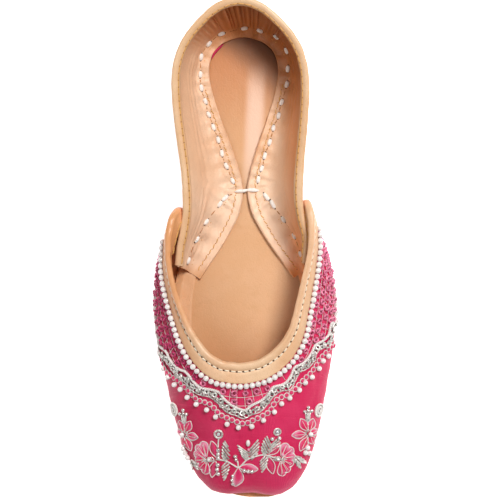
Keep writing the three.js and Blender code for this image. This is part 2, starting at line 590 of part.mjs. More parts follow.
// The vamp's lining turned in over the edge of the sock, from one end of the quarter round the
// toe to the other.
function vampMargin() {
  const from = 0.27;
  const inset = soleLedge + upperWall + 3 * clearance;
  return loft(spread(marginRings, from, 1 - from).map((at) => {
    const row = rowAt(vampRows, at);
    const seat = (extra) => seatOnSole(row.footX * ballWidth / 2, row.footY * shoeLength, inset + extra).point;
    const outerSpot = seat(row.toe * (toeLedge - soleLedge + 2 * clearance));
    const innerSpot = seat(vampMarginWidth);
    const rest = (spot, height) => spot.clone().setZ(insoleTopAt(spot.x, spot.y) + clearance + height);
    return [
      rest(outerSpot, 0), rest(outerSpot, vampMarginThickness),
      rest(innerSpot, 0.7 * vampMarginThickness), rest(innerSpot, 0),
    ];
  }));
}

// The raised band of silver thread that dips round the throat.
function silverBand() {
  const first = bandRows[0].at;
  const last = bandRows[bandRows.length - 1].at;
  const half = bandWidth / 2;
  return loft(spread(bandRings).map((share) => {
    const row = rowAt(bandRows, share);
    const at = THREE.MathUtils.clamp(row.at, first, last);
    const lift = (depth, height) => {
      const face = vampFace(at, depth);
      return face.point.clone().addScaledVector(face.out, clearance + height);
    };
    const middle = row.out * bandOffset;
    return [
      lift(middle + half, 0), lift(middle + 0.6 * half, bandHeight),
      lift(middle - 0.6 * half, bandHeight), lift(middle - half, 0),
      lift(middle, 0),
    ];
  }));
}

// Colours and finishes
const finishes = {
  tanLeather: { color: 0xe8b78a, roughness: 0.5, metalness: 0 },
  soleLeather: { color: 0xc99a5f, roughness: 0.6, metalness: 0 },
  sockLeather: { color: 0xe3ab7c, roughness: 0.45, metalness: 0 },
  pinkSilk: { color: 0xc9305f, roughness: 0.7, metalness: 0 },
  silverThread: { color: 0xc9c6c0, roughness: 0.35, metalness: 0.8 },
};

function piece(name, geometry, finish) {
  const mesh = new THREE.Mesh(geometry, new THREE.MeshStandardMaterial(finishes[finish]));
  mesh.name = name;
  return mesh;
}

const shoe = new THREE.Group();
shoe.add(
  piece('outsole', outsole(), 'soleLeather'),
  piece('insole', insole(), 'sockLeather'),
  piece('upper_vamp', vamp(), 'pinkSilk'),
  piece('upper_quarter', quarter(), 'tanLeather'),
  piece('vamp_binding', vampBinding(), 'tanLeather'),
  piece('quarter_binding', quarterBinding(), 'tanLeather'),
  piece('vamp_margin', vampMargin(), 'tanLeather'),
  piece('silver_band', silverBand(), 'silverThread'),
);

// The origin is on the floor, under the middle of the whole shoe.
const bounds = new THREE.Box3().setFromObject(shoe);
const middle = bounds.getCenter(new THREE.Vector3());
shoe.position.set(-middle.x, -middle.y, -bounds.min.z);

export default shoe;
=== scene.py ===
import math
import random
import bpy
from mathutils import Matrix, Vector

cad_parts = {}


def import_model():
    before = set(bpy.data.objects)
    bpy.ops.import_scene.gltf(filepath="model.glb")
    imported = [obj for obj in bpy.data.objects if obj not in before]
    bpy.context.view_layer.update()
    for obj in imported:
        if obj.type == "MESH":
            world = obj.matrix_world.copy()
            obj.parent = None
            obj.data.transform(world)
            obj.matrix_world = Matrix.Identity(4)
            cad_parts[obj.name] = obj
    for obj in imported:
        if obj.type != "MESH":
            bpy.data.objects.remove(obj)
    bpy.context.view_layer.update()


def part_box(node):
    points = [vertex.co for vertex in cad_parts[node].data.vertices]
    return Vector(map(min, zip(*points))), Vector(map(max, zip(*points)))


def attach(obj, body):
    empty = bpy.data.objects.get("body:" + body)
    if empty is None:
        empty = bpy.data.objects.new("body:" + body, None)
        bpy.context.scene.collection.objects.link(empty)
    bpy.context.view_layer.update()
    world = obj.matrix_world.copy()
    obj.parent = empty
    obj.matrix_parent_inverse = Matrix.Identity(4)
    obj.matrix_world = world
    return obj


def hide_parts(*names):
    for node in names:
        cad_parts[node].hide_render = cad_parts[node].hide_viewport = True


bl_info = {
    "name": "Embroidered Mojari Shoe",
    "version": (1, 0, 0),
    "blender": (4, 5, 0),
    "location": "View3D > Sidebar > Mojari",
    "description": "Builds the leather, silk and hand embroidery of one mojari shoe round its packed model",
    "category": "Object",
}

import bpy
import numpy as np
from mathutils import Matrix, Vector, noise
from mathutils.bvhtree import BVHTree

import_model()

MM = 0.001

# Sizes of the shoe in millimetres, the same as in the part's source
LENGTH, BALL, COLLAR, INSTEP, HEEL = 250.0, 88.0, 65.5, 38.0, 53.0
SOLE_THICK, HEEL_THICK, ARCH_RISE, TOE_SPRING = 4.5, 7.5, 1.6, 5.0
SOCK_THICK, SOCK_CROWN = 2.2, 0.7
WALL, EDGE_WALL, SKIVE = 1.9, 1.2, 8.0
SOLE_LEDGE, TOE_LEDGE, MARGIN, CLEAR = 1.4, 3.0, 1.5, 0.3
BINDING, VAMP_BINDING_DEPTH, VAMP_BINDING_INSIDE = 0.8, 9.2, 5.0
SOCK_INSET = SOLE_LEDGE + 2 * WALL + 2 * CLEAR

# Sizes that only the needlework and the stage have
SOLE_SEAM_INSET = 6.5          # from the sole's edge to the stitches underneath
FINE_PITCH = 3.4               # from one fine ochre stitch to the next
MARGIN_SEAM_INSET = 3.3        # from the free edge of the margin to its stitches
MARGIN_SEAM_END = 84           # the margin's stitches stop here, before the heel
FOLD_STEPS = 24                # points between two stitches on the line of the fold
TIE_HEIGHT = 11.75             # of the tie across the waist, above the ground
RING_PITCH, RING_SIZE = 2.75, 3.1
DROP_SIZE = 2.75
HOOP = (-.3, .02, .12, .14, .12, .02, -.3)     # rise of a fine stitch over the leather
CAMERA_SPOT, CAMERA_AIM, CAMERA_TURN = (.0504, .00084, 1.025), (.00202, .00084, 0), .89

# Outline of the sole from the back of the heel down the left side: across, half width, along
SOLE_ROWS = [
    (0, 26, .454), (-.48, 26, .442), (-.84, 26, .407), (-1, 26, .350), (-.95, 26, .290), (-1.12, 20, .230),
    (-1.02, 20, .170), (-1.02, 20, .115), (-1.27, 20, .055), (-.84, 38.5, -.005), (-.97, 38.5, -.085),
    (-1, 38.5, -.170), (-.97, 38.5, -.250), (-.89, 38.5, -.325), (-.78, 38.5, -.400), (-.61, 38.5, -.460),
    (-.34, 38.5, -.493), (.09, 38.5, -.506), (.40, 38.5, -.498), (.64, 38.5, -.460), (.79, 38.5, -.400),
    (.89, 38.5, -.325), (.97, 38.5, -.250), (1, 38.5, -.170), (.97, 38.5, -.085), (.84, 38.5, -.005),
    (1.27, 20, .055), (1.02, 20, .115), (1.02, 20, .170), (1.12, 20, .230), (.95, 26, .290), (1, 26, .350),
    (.84, 26, .407), (.48, 26, .442),
]

# The vamp from the left ear round the throat to the right ear:
# topX, topY, topZ, footX, footY, heading, slope, lip, bulge, rise, toe
VAMP_ROWS = [
    (-.590, .068, .32, -.56, .058, 200, 80, .05, .01, .05, 0),
    (-.680, .078, .64, -.62, .030, 262, 45, .20, .06, .16, 0),
    (-.735, .080, .93, -.72, -.004, 258, 45, .30, .14, .26, 0),
    (-.800, .064, 1.09, -.78, -.040, 245, 60, .34, .24, .31, 0),
    (-.838, .036, 1.13, -.81, -.070, 225, 70, .36, .34, .34, 0),
    (-.850, .000, 1.12, -.84, -.098, 210, 72, .36, .42, .34, 0),
    (-.838, -.038, 1.10, -.86, -.128, 203, 71, .36, .47, .34, 0),
    (-.790, -.080, 1.07, -.87, -.160, 204, 71, .37, .49, .34, 0),
    (-.710, -.124, 1.04, -.86, -.208, 211, 64, .42, .46, .34, 0),
    (-.600, -.166, 1.02, -.83, -.270, 222, 44, .52, .40, .33, 0),
    (-.450, -.204, 1.00, -.75, -.345, 229, 27, .68, .36, .33, 0),
    (-.285, -.225, 1.00, -.58, -.430, 243, 14, .86, .33, .34, 0),
    (-.170, -.229, 1.00, -.34, -.480, 256, 10, .94, .40, .35, .1),
    (-.060, -.231, 1.00, .03, -.490, 268, 9, .96, .14, .35, 1),
    (.070, -.228, 1.00, .36, -.480, 282, 10, .94, .38, .35, .4),
    (.190, -.221, 1.00, .59, -.430, 298, 14, .86, .34, .34, 0),
    (.375, -.198, 1.00, .75, -.345, 308, 27, .68, .35, .33, 0),
    (.522, -.161, 1.02, .83, -.270, 318, 44, .52, .37, .33, 0),
    (.598, -.116, 1.04, .86, -.208, 329, 59, .42, .45, .34, 0),
    (.667, -.068, 1.07, .87, -.160, 336, 67, .37, .47, .34, 0),
    (.728, -.024, 1.10, .86, -.128, 337, 71, .36, .46, .34, 0),
    (.765, .014, 1.12, .84, -.098, 330, 72, .36, .41, .34, 0),
    (.775, .050, 1.13, .81, -.070, 315, 70, .36, .32, .34, 0),
    (.755, .078, 1.08, .78, -.040, 295, 60, .34, .24, .31, 0),
    (.715, .092, .92, .72, -.004, 282, 45, .30, .14, .26, 0),
    (.665, .088, .64, .62, .030, 278, 45, .20, .06, .16, 0),
    (.590, .074, .32, .56, .058, 340, 80, .05, .01, .05, 0),
]

# Right half of the quarter from its front end to the heel:
# topX, topY, topZ, edgeX, edgeY, footX, footY, tuck, hollow, belly
QUARTER_ROWS = [
    (1.030, -.034, .64, .735, -.060, .93, -.043, 1, .05, .01),
    (.990, .003, .68, .555, -.025, .82, -.012, 1, .07, .00),
    (.930, .036, .71, .400, .004, .70, .020, 1, .10, -.01),
    (.885, .068, .74, .255, .036, .58, .056, 1, .15, -.02),
    (.872, .098, .76, .120, .072, .52, .088, .7, .19, -.02),
    (.876, .126, .775, .050, .116, .50, .120, .2, .20, -.02),
    (.900, .168, .79, .085, .150, .52, .160, 0, .17, -.01),
    (.945, .220, .815, .210, .204, .60, .214, 0, .13, .00),
    (.985, .274, .85, .350, .258, .66, .266, 0, .09, .02),
    (1.000, .322, .885, .475, .312, .70, .318, 0, .06, .03),
    (.968, .362, .920, .535, .358, .70, .360, 0, .05, .04),
    (.855, .402, .950, .480, .394, .60, .398, 0, .05, .04),
    (.650, .438, .975, .345, .414, .46, .426, 0, .05, .04),
    (.350, .4725, .992, .180, .424, .24, .446, 0, .05, .04),
    (.000, .4865, 1.000, .000, .4285, .00, .454, 0, .05, .04),
]

# Hand stitches that hold the lining down in the fold, seen from above, left and right side
FOLD_LEFT = [
    (-10.8, 108.8), (-17.3, 103.9), (-21.3, 97.4), (-21.9, 88.6), (-21.5, 81.8), (-19.6, 75), (-18, 68.2),
    (-15.7, 61.8), (-13.4, 55.3), (-11.6, 48.5), (-9.5, 42), (-6.4, 34.5), (-5.5, 29.4), (-10.4, 25.8),
    (-13, 22.8), (-20, 13.8), (-24.9, 5), (-29.2, -5.7),
]
FOLD_RIGHT = [
    (.9, 111.4), (8.7, 110), (17.1, 106.2), (22.1, 99.4), (22.5, 90.6), (21.9, 82.8), (19.1, 73.8),
    (17.4, 67), (14.7, 60.8), (12.7, 53.6), (10.1, 46.8), (8.4, 40.4), (6.6, 34.9), (6.8, 29.7),
    (10.6, 26.1), (13.8, 22.2), (19.1, 14.4), (24.4, 6), (27.5, -3.1),
]

# Lines of the embroidery, seen from above, in the part's own place
BAND_LINE = [
    (-43.3, -49.3), (-41, -51.8), (-37.9, -54.8), (-32.2, -61.6), (-28.9, -63.4), (-25.7, -67.1),
    (-21.9, -68.9), (-18, -69.8), (-14.8, -71.3), (-11.7, -74.5), (-8.6, -77.7), (-4.9, -79.3),
    (-.5, -80.9), (2.7, -78.9), (6.6, -77.7), (10.4, -73.9), (13.6, -70.1), (17.4, -67.6), (21.2, -67),
    (23.8, -63.3), (25.8, -58.9), (28.9, -57.7), (32.7, -54.6), (34.7, -49.6), (37.3, -47.8),
    (41.1, -46.7), (43, -41.7), (43.6, -37.2),
]
CORD_LINE = [
    (-43, -46.1), (-39.4, -49.1), (-37.4, -52.9), (-32.8, -57.8), (-28.8, -59.5), (-22.4, -66.4),
    (-17.3, -67.6), (-12.8, -69.1), (-10.4, -72.2), (-6.7, -75.4), (-2.9, -77.4), (-.1, -78), (2.8, -76.1),
    (7.9, -73.5), (11.1, -70.4), (13.7, -67.2), (19.4, -65.1), (22.6, -61.3), (24.5, -57.4), (28.9, -55.4),
    (32.2, -51.4), (34.7, -47), (38.6, -44.8), (41.4, -41.8), (42.6, -36.7),
]
CHAIN_LINE = [
    (-42, -55.2), (-39.8, -59.5), (-35, -63.4), (-31.6, -65.5), (-28.3, -69.3), (-24.1, -73), (-19.1, -74.7),
    (-16.7, -76.1), (-14.7, -78.5), (-12.6, -80.3), (-7.7, -83.1), (-2, -85.1), (.8, -85.1), (3.7, -83.8),
    (9, -81.2), (11.5, -79.6), (13.6, -77.4), (14.8, -74.6), (16.8, -72.8), (21.8, -70.9), (24, -69.2),
    (27.2, -65.7), (30.6, -62.3), (32.6, -60.8), (37.2, -54.2), (39.4, -51.8), (42.4, -48.8),
]
SLATS = [  # lengths of bullion laid side by side in each leaf: where they start and where they end
    ([(-4.2, -96.6), (-3.9, -97.9), (-3.4, -99.2), (-2.9, -100.5), (-2.2, -101.8)],
     [(.7, -100.2), (.8, -101.5), (.7, -102.6), (.4, -103.4), (-.2, -104.0)]),
    ([(1.5, -98.9), (1.6, -100.2), (1.7, -101.5), (2.0, -102.7), (2.6, -103.7)],
     [(5.9, -93.9), (6.3, -95.4), (6.3, -97.1), (6.0, -98.9), (5.4, -100.7)]),
    ([(-10.6, -94.4), (-11.3, -95.3), (-11.8, -96.9), (-12.1, -98.5), (-12.2, -100.1), (-12.2, -101.8)],
     [(-9.2, -96.8), (-8.6, -99.2), (-8.5, -101.4), (-9.1, -103.1), (-10.0, -104.0), (-11.0, -104.3)]),
    ([(-12.4, -107.3), (-12.6, -108.7), (-12.5, -110.1), (-12.3, -111.5), (-12.0, -112.9), (-11.7, -114.1)],
     [(-10.2, -105.0), (-9.2, -106.0), (-8.9, -107.5), (-9.2, -109.0), (-9.9, -110.9), (-10.7, -112.5)]),
    ([(10.4, -92.2), (9.5, -93.0), (8.7, -94.2), (8.1, -95.7), (7.7, -97.4), (7.7, -99.1)],
     [(11.9, -95.9), (11.6, -97.7), (11.0, -99.2), (10.3, -100.4), (9.5, -101.1), (8.9, -101.6)]),
    ([(12.3, -96.5), (12.0, -97.8), (11.7, -99.0), (11.4, -100.2)],
     [(15.0, -93.9), (16.1, -94.4), (16.8, -95.4), (16.6, -96.8)]),
    ([(6.9, -104.7), (6.8, -106.1), (7.0, -107.4), (7.2, -108.7), (7.5, -110.1)],
     [(9.0, -102.3), (10.2, -102.8), (10.4, -104.2), (10.1, -105.8), (9.5, -107.6)]),
]
DROPS = [
    (-40.7, -58.3), (-38.5, -62.5), (-35.1, -66), (-32, -68.3), (-28.5, -72.2), (-23.9, -75.5),
    (-18.9, -78.1), (-14.6, -81.7), (-9.1, -85.3), (-3.6, -87.1), (3.2, -86.6), (8.9, -83.6), (14.2, -79.6),
    (17.8, -75.6), (21.7, -72.9), (26.3, -69.1), (29.3, -65.6), (32.6, -63), (36.1, -58.9), (38.1, -55.2),
    (40.7, -52.8),
]


# Shape of the shoe

def smooth(low, high, value):
    t = np.clip((np.asarray(value, float) - low) / (high - low), 0, 1)
    return t * t * (3 - 2 * t)


def row_at(rows, at):
    """A smooth curve through the rows of a table, column by column; at runs from 0 to 1."""
    rows = np.asarray(rows, float)
    place = min(max(at, 0), 1) * (len(rows) - 1)
    index = min(int(place), len(rows) - 2)
    t = place - index
    before, start, end, after = (rows[min(max(index + k, 0), len(rows) - 1)] for k in (-1, 0, 1, 2))
    out, into = (end - before) / 2, (after - start) / 2
    return ((2 * t**3 - 3 * t**2 + 1) * start + (t**3 - 2 * t**2 + t) * out
            + (3 * t**2 - 2 * t**3) * end + (t**3 - t**2) * into)


def run_along(points):
    """How far along a line each of its points lies."""
    return np.concatenate([[0], np.cumsum(np.linalg.norm(np.diff(points[:, :3], axis=0), axis=1))])


def length_of(points):
    return np.linalg.norm(np.diff(points[:, :3], axis=0), axis=1).sum()


def evenly(points, count, closed=False):
    """The same line as evenly spaced points; columns past the third are carried along."""
    points = np.asarray(points, float)
    if closed:
        points = np.vstack([points, points[:1]])
    run = run_along(points)
    at = np.linspace(0, run[-1], count + 1 if closed else count)
    even = np.stack([np.interp(at, run, points[:, k]) for k in range(points.shape[1])], axis=1)
    return even[:-1] if closed else even


def rounded(points, closed=False, per=14):
    """A centripetal curve through the points."""
    points = [np.asarray(p, float) for p in points]
    if closed:
        points = [points[-1]] + points + points[:2]
    else:
        points = [2 * points[0] - points[1]] + points + [2 * points[-1] - points[-2]]
    curve = []
    for a, b, c, d in zip(points, points[1:], points[2:], points[3:]):
        u, v, w = (max(np.linalg.norm(q - p), 1e-6) ** 0.5 for p, q in ((a, b), (b, c), (c, d)))
        out = ((b - a) / u - (c - a) / (u + v) + (c - b) / v) * v
        into = ((c - b) / v - (d - b) / (v + w) + (d - c) / w) * v
        for t in np.arange(per) / per:
            curve.append(b + out * t + (3 * (c - b) - 2 * out - into) * t**2 + (2 * (b - c) + out + into) * t**3)
    if not closed:
        curve.append(points[-2])
    return np.array(curve)


OUTLINE = evenly(rounded([(a * half, y * LENGTH) for a, half, y in SOLE_ROWS], closed=True), 420, closed=True)
SHOE_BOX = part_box("outsole")
SHIFT = np.array([
    (SHOE_BOX[0][0] + SHOE_BOX[1][0]) / 2 / MM - (OUTLINE[:, 0].min() + OUTLINE[:, 0].max()) / 2,
    (SHOE_BOX[0][1] + SHOE_BOX[1][1]) / 2 / MM - (OUTLINE[:, 1].min() + OUTLINE[:, 1].max()) / 2,
    0.0,
])


def world(points):
    return (np.asarray(points, float) + SHIFT) * MM


def toe_share(y):
    return np.clip((-0.30 - y / LENGTH) / (-0.30 + 0.507), 0, 1)


def sole_bottom(y):
    share = y / LENGTH
    return TOE_SPRING * toe_share(y) ** 2 + ARCH_RISE * smooth(-.01, .11, share) * (1 - smooth(.11, .22, share))


def sole_top(y):
    return SOLE_THICK + (HEEL_THICK - SOLE_THICK) * smooth(-.01, .22, y / LENGTH) + TOE_SPRING * toe_share(y) ** 2


def sock_top(x, y):
    half = BALL / 2 - SOCK_INSET
    return sole_top(y) + CLEAR + SOCK_THICK + SOCK_CROWN * np.maximum(0, 1 - (x / half) ** 2)


def seat_on_sole(x, y, inset):
    """The nearest point of the sole's outline, moved in, and the way out from there."""
    start, step = OUTLINE, np.roll(OUTLINE, -1, axis=0) - OUTLINE
    t = np.clip(((np.array([x, y]) - start) * step).sum(1) / (step**2).sum(1), 0, 1)
    spots = start + step * t[:, None]
    best = np.argmin(np.linalg.norm(spots - (x, y), axis=1))
    along = step[best] / np.linalg.norm(step[best])
    out = np.array([along[1], -along[0], 0.0])
    spot = np.append(spots[best], 0) - out * inset
    spot[2] = sole_top(spot[1]) + CLEAR
    return spot, out


def bezier(corners, t):
    a, b, c, d = corners
    t = t[:, None]
    return (1 - t)**3 * a + 3 * (1 - t)**2 * t * b + 3 * (1 - t) * t**2 * c + t**3 * d


def unit(vectors):
    return vectors / np.maximum(np.linalg.norm(vectors, axis=-1, keepdims=True), 1e-9)


def inset_outline(distance):
    """The outline of the sole, moved in."""
    step = unit(np.roll(OUTLINE, -1, axis=0) - np.roll(OUTLINE, 1, axis=0))
    return OUTLINE - np.stack([step[:, 1], -step[:, 0]], axis=1) * distance


def stations(outline, skipped, count):
    """Places along an outline, closer together toward its ends."""
    low, high = outline[:, 1].min(), outline[:, 1].max()
    return low + (high - low) * (1 - np.cos(np.linspace(skipped, 1 - skipped, count) * math.pi)) / 2


def edges_at(outline, y):
    """The left and the right edge of an outline at a place along it."""
    start, end = outline, np.roll(outline, -1, axis=0)
    cross = (start[:, 1] - y) * (end[:, 1] - y) <= 0
    a, b = start[cross], end[cross]
    spread = np.where(np.abs(b[:, 1] - a[:, 1]) < 1e-9, 1e-9, b[:, 1] - a[:, 1])
    xs = a[:, 0] + (b[:, 0] - a[:, 0]) * (y - a[:, 1]) / spread
    return xs.min(), xs.max()


def quads(rows, cols):
    """The faces of a grid of points."""
    return [(r * cols + c, r * cols + c + 1, (r + 1) * cols + c + 1, (r + 1) * cols + c)
            for r in range(rows - 1) for c in range(cols - 1)]


def wall_at(depth):
    return EDGE_WALL + (WALL - EDGE_WALL) * smooth(0, SKIVE, depth)


class Shell:
    """A wall of the shoe as a grid of points, from the sole up to its top edge."""

    def __init__(self, curves, steps=61):
        self.rings, self.steps = len(curves), steps
        self.grid = np.zeros((len(curves), steps, 3))
        self.length = np.zeros(len(curves))
        for i, corners in enumerate(curves):
            fine = bezier(corners, np.linspace(0, 1, 121))
            self.length[i] = length_of(fine)
            self.grid[i] = evenly(fine, steps)
        self.rise = unit(np.gradient(self.grid, axis=1))
        self.out = unit(np.cross(np.gradient(self.grid, axis=0), self.rise))

    def _column(self, ring, depth):
        v = np.clip((1 - depth / self.length[ring]) * (self.steps - 1), 0, self.steps - 1)
        low = np.minimum(v.astype(int), self.steps - 2)
        part = (v - low)[..., None]
        pick = lambda grid: grid[ring, low] * (1 - part) + grid[ring, low + 1] * part
        return pick(self.grid) + pick(self.rise) * np.maximum(-depth, 0)[..., None], pick(self.out), pick(self.rise)

    def face(self, at, depth):
        """Points of the outer face at depths below the top edge, the way out there and the way up."""
        at, depth = np.broadcast_arrays(np.asarray(at, float), np.asarray(depth, float))
        u = np.clip(at, 0, 1) * (self.rings - 1)
        ring = np.minimum(u.astype(int), self.rings - 2)
        part = (u - ring)[..., None]
        near, far = self._column(ring, depth), self._column(ring + 1, depth)
        return tuple(a * (1 - part) + b * part for a, b in zip(near, far))

    def off(self, at, depth, distance):
        point, out, _ = self.face(at, depth)
        return point + out * np.asarray(distance, float)[..., None]

    def length_at(self, at):
        return np.interp(at, np.linspace(0, 1, self.rings), self.length)

    def laid_flat(self, at, depth):
        """Where the wall would lie if it hung straight out from its top edge, for the threads of the cloth."""
        top, out, _ = self.face(at[:, 0], np.zeros(len(at)))
        away = unit(out * (1, 1, 0) + 1e-9)
        return top[:, None, :2] + away[:, None, :2] * depth[..., None]


def vamp_curve(at):
    top_x, top_y, top_z, foot_x, foot_y, heading, slope, lip, bulge, rise, toe = row_at(VAMP_ROWS, at)
    foot, out = seat_on_sole(foot_x * BALL / 2, foot_y * LENGTH,
                             SOLE_LEDGE + (TOE_LEDGE - SOLE_LEDGE) * min(max(toe, 0), 1))
    top = np.array([top_x * BALL / 2, top_y * LENGTH, top_z * INSTEP])
    heading, slope = math.radians(heading), math.radians(slope)
    down = np.array([math.cos(heading) * math.cos(slope), math.sin(heading) * math.cos(slope), -math.sin(slope)])
    low = foot + out * bulge * INSTEP + np.array([0, 0, rise * INSTEP])
    return foot, low, top + down * lip * INSTEP, top


def binding_depth(at):
    """How far the throat's leather reaches down the outside; it narrows towards the ears."""
    taper = smooth(0, .38, np.minimum(at, 1 - np.asarray(at, float)))
    return np.minimum(VAMP_BINDING_DEPTH * (.6 + .4 * taper), .72 * VAMP.length_at(at))


VAMP = Shell([vamp_curve(t) for t in np.linspace(0, 1, 241)])


def grid_tree(grid):
    """A search tree over a grid of points."""
    return BVHTree.FromPolygons([Vector(p) for p in grid.reshape(-1, 3)], quads(*grid.shape[:2]))


def vamp_inside():
    depth = (1 - np.linspace(0, 1, VAMP.steps)) * VAMP.length[:, None]
    return grid_tree(VAMP.grid - VAMP.out * wall_at(depth)[..., None])


VAMP_INSIDE = vamp_inside()


def inside_wing(point, share):
    """A point of the quarter, moved in until it stands clear of the inside of a wing."""
    doubled = 2 * (BINDING + CLEAR)
    room = 1.5 * CLEAR + (doubled + CLEAR) * float(smooth(.2, .75, share))
    side = 1 if point[0] >= 0 else -1
    limit = abs(point[0])
    for reach in (0, -doubled, -2 * doubled):
        hit = VAMP_INSIDE.ray_cast(Vector((0, point[1] + reach, point[2])), Vector((side, 0, 0)))
        if hit[0] is not None:
            limit = min(limit, hit[3] - room)
    return np.array([side * limit, point[1], point[2]])


QUARTER_FULL = QUARTER_ROWS + [tuple(-v if k in (0, 3, 5) else v for k, v in enumerate(row))
                               for row in QUARTER_ROWS[-2::-1]]


def quarter_plan(at):
    top_x, top_y, top_z, edge_x, edge_y, foot_x, foot_y, tuck, hollow, belly = row_at(QUARTER_FULL, at)
    foot, out = seat_on_sole(foot_x * COLLAR / 2, foot_y * LENGTH,
                             SOLE_LEDGE + min(max(tuck, 0), 1) * (WALL + 2 * CLEAR))
    top = np.array([top_x * COLLAR / 2, top_y * LENGTH, top_z * HEEL])
    return foot, top, np.array([edge_x * COLLAR / 2, edge_y * LENGTH, 0]), out, hollow, belly


def quarter_curve(at):
    foot, top, _, out, _, belly = quarter_plan(at)
    push = out * belly * (top[2] - foot[2])
    return (inside_wing(foot, 0), inside_wing(foot + (top - foot) * .33 + push, .33),
            inside_wing(foot + (top - foot) * .67 + push, .67), inside_wing(top, 1))


QUARTER = Shell([quarter_curve(t) for t in np.linspace(0, 1, 241)])


def margin_top(point):
    lifted = np.array(point, float)
    lifted[2] = sock_top(point[0], point[1]) + CLEAR + MARGIN
    return lifted


def lining_profile(at, counts=(20, 16, 34)):
    """The lining of the quarter, from the free edge of its turned-in margin to the top edge."""
    foot, _, edge, _, hollow, _ = quarter_plan(at)
    inward = unit((edge - foot) * (1, 1, 0))
    leg = foot + inward * WALL
    corner = margin_top(leg)
    hollow *= HEEL
    reach = min(hollow, .75 * np.linalg.norm((corner - edge)[:2]))
    start = margin_top(corner + inward * reach)
    depth = (1 - np.linspace(0, 1, 61)) * QUARTER.length_at(at)
    point, out, _ = QUARTER.face(at, depth)
    lining = point - out * wall_at(depth)[:, None]
    share = np.interp(corner[2] + hollow, lining[:, 2], np.linspace(0, 1, 61))
    wall = np.stack([np.interp(np.linspace(share, 1, counts[2]), np.linspace(0, 1, 61), lining[:, k])
                     for k in range(3)], axis=1)
    margin = [margin_top(edge + (start - edge) * t) for t in np.linspace(0, 1, counts[0])]
    t = np.linspace(0, 1, counts[1] + 1)[1:-1, None]
    bend = (1 - t)**2 * margin[-1] + 2 * t * (1 - t) * corner + t**2 * wall[0]
    return np.vstack([margin, bend, wall])


class Trim:
    """A line of trimming round the throat, as shares of the way round and depths below the edge."""

    def __init__(self, points, side_depth):
        at, depth = np.meshgrid(np.linspace(0, 1, 481), np.linspace(0, 46, 116), indexing="ij")
        spots = world(VAMP.off(at, depth, 0.0))[..., :2] / MM
        upper = VAMP.face(at, depth)[1][..., 2] > -.12
        found = []
        for x, y in points:
            gap = np.hypot(spots[..., 0] - x, spots[..., 1] - y) + np.where(upper, 0, 50) + depth * .004
            k = np.unravel_index(np.argmin(gap), gap.shape)
            found.append((at[k], depth[k]))
        (a, d), (b, e) = found[0], found[-1]
        ends = lambda at, depth, last, low: [(at + (last - at) * t, depth + (low - depth) * (1 - (1 - t) ** 9)
                                              + .7 * math.sin(t * 19)) for t in (1, .85, .7, .55, .4, .25, .12)]
        found = ends(a, d, .16, side_depth) + found + ends(b, e, .84, side_depth + 5.5)[::-1]
        self.line = rounded([(x * 300, y) for x, y in found], per=12) / (300, 1)

    def depth_at(self, at):
        order = np.argsort(self.line[:, 0])
        return np.interp(at, self.line[order, 0], self.line[order, 1])

    def laid(self, lift, aside=0.0):
        """Places in metres along the line, with the way out from the silk."""
        point, out, _ = VAMP.face(self.line[:, 0], self.line[:, 1] + aside)
        line = evenly(np.concatenate([world(point + out * lift), out], axis=1), 900)
        return line[:, :3], unit(line[:, 3:])


# Meshes

def grid_piece(name, grid, finish, thickness=0.0, uv=None, merge=False):
    """A grid of points, in millimetres, as a piece: added flat, laid on its shape, given its wall."""
    rows, cols, _ = grid.shape
    bpy.ops.object.select_all(action="DESELECT")
    bpy.ops.mesh.primitive_grid_add(x_subdivisions=cols - 1, y_subdivisions=rows - 1, size=0.1)
    piece = bpy.context.object
    piece.name = piece.data.name = name
    mesh = piece.data
    if len(mesh.vertices) != rows * cols:
        raise RuntimeError(f"{name}: {len(mesh.vertices)} points for {rows} by {cols}")
    mesh.vertices.foreach_set("co", world(grid).ravel())
    if uv is not None:
        loops = np.zeros(len(mesh.loops), int)
        mesh.loops.foreach_get("vertex_index", loops)
        mesh.uv_layers[0].data.foreach_set("uv", (uv.reshape(-1, 2) * MM)[loops].ravel())
    mesh.update()
    bpy.ops.object.mode_set(mode="EDIT")
    bpy.ops.mesh.select_all(action="SELECT")
    if merge:
        bpy.ops.mesh.remove_doubles(threshold=1e-6)
    bpy.ops.object.mode_set(mode="OBJECT")
    if thickness:
        wall = piece.modifiers.new("wall", "SOLIDIFY")
        wall.thickness = thickness * MM
        wall.offset = -1
        wall.use_even_offset = False
        bpy.ops.object.modifier_apply(modifier="wall")
    bpy.ops.object.shade_smooth_by_angle(angle=math.radians(50))
    mesh.materials.append(finish)
    return piece


def settle(piece, slot, *nodes):
    """Makes a piece ride on the shoe and stand for its nodes."""
    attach(piece, "root")
    if nodes:
        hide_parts(*nodes)
    return piece


def modelled(make):
    """The corners, faces and UVs of a small shape made once with the mesh operators, then copied."""
    bpy.ops.object.select_all(action="DESELECT")
    make()
    piece = bpy.context.object
    mesh = piece.data
    corners = np.zeros(len(mesh.vertices) * 3)
    mesh.vertices.foreach_get("co", corners)
    faces = [tuple(face.vertices) for face in mesh.polygons]
    uvs = np.zeros(len(mesh.loops) * 2)
    if mesh.uv_layers:
        mesh.uv_layers[0].data.foreach_get("uv", uvs)
    bpy.data.objects.remove(piece)
    bpy.data.meshes.remove(mesh)
    return corners.reshape(-1, 3), faces, uvs.reshape(-1, 2)


def across(points, normals):
    """The ways aside and up from a line that lies on a surface."""
    along = unit(np.gradient(points, axis=0))
    side = unit(np.cross(normals, along))
    return side, unit(np.cross(along, side))


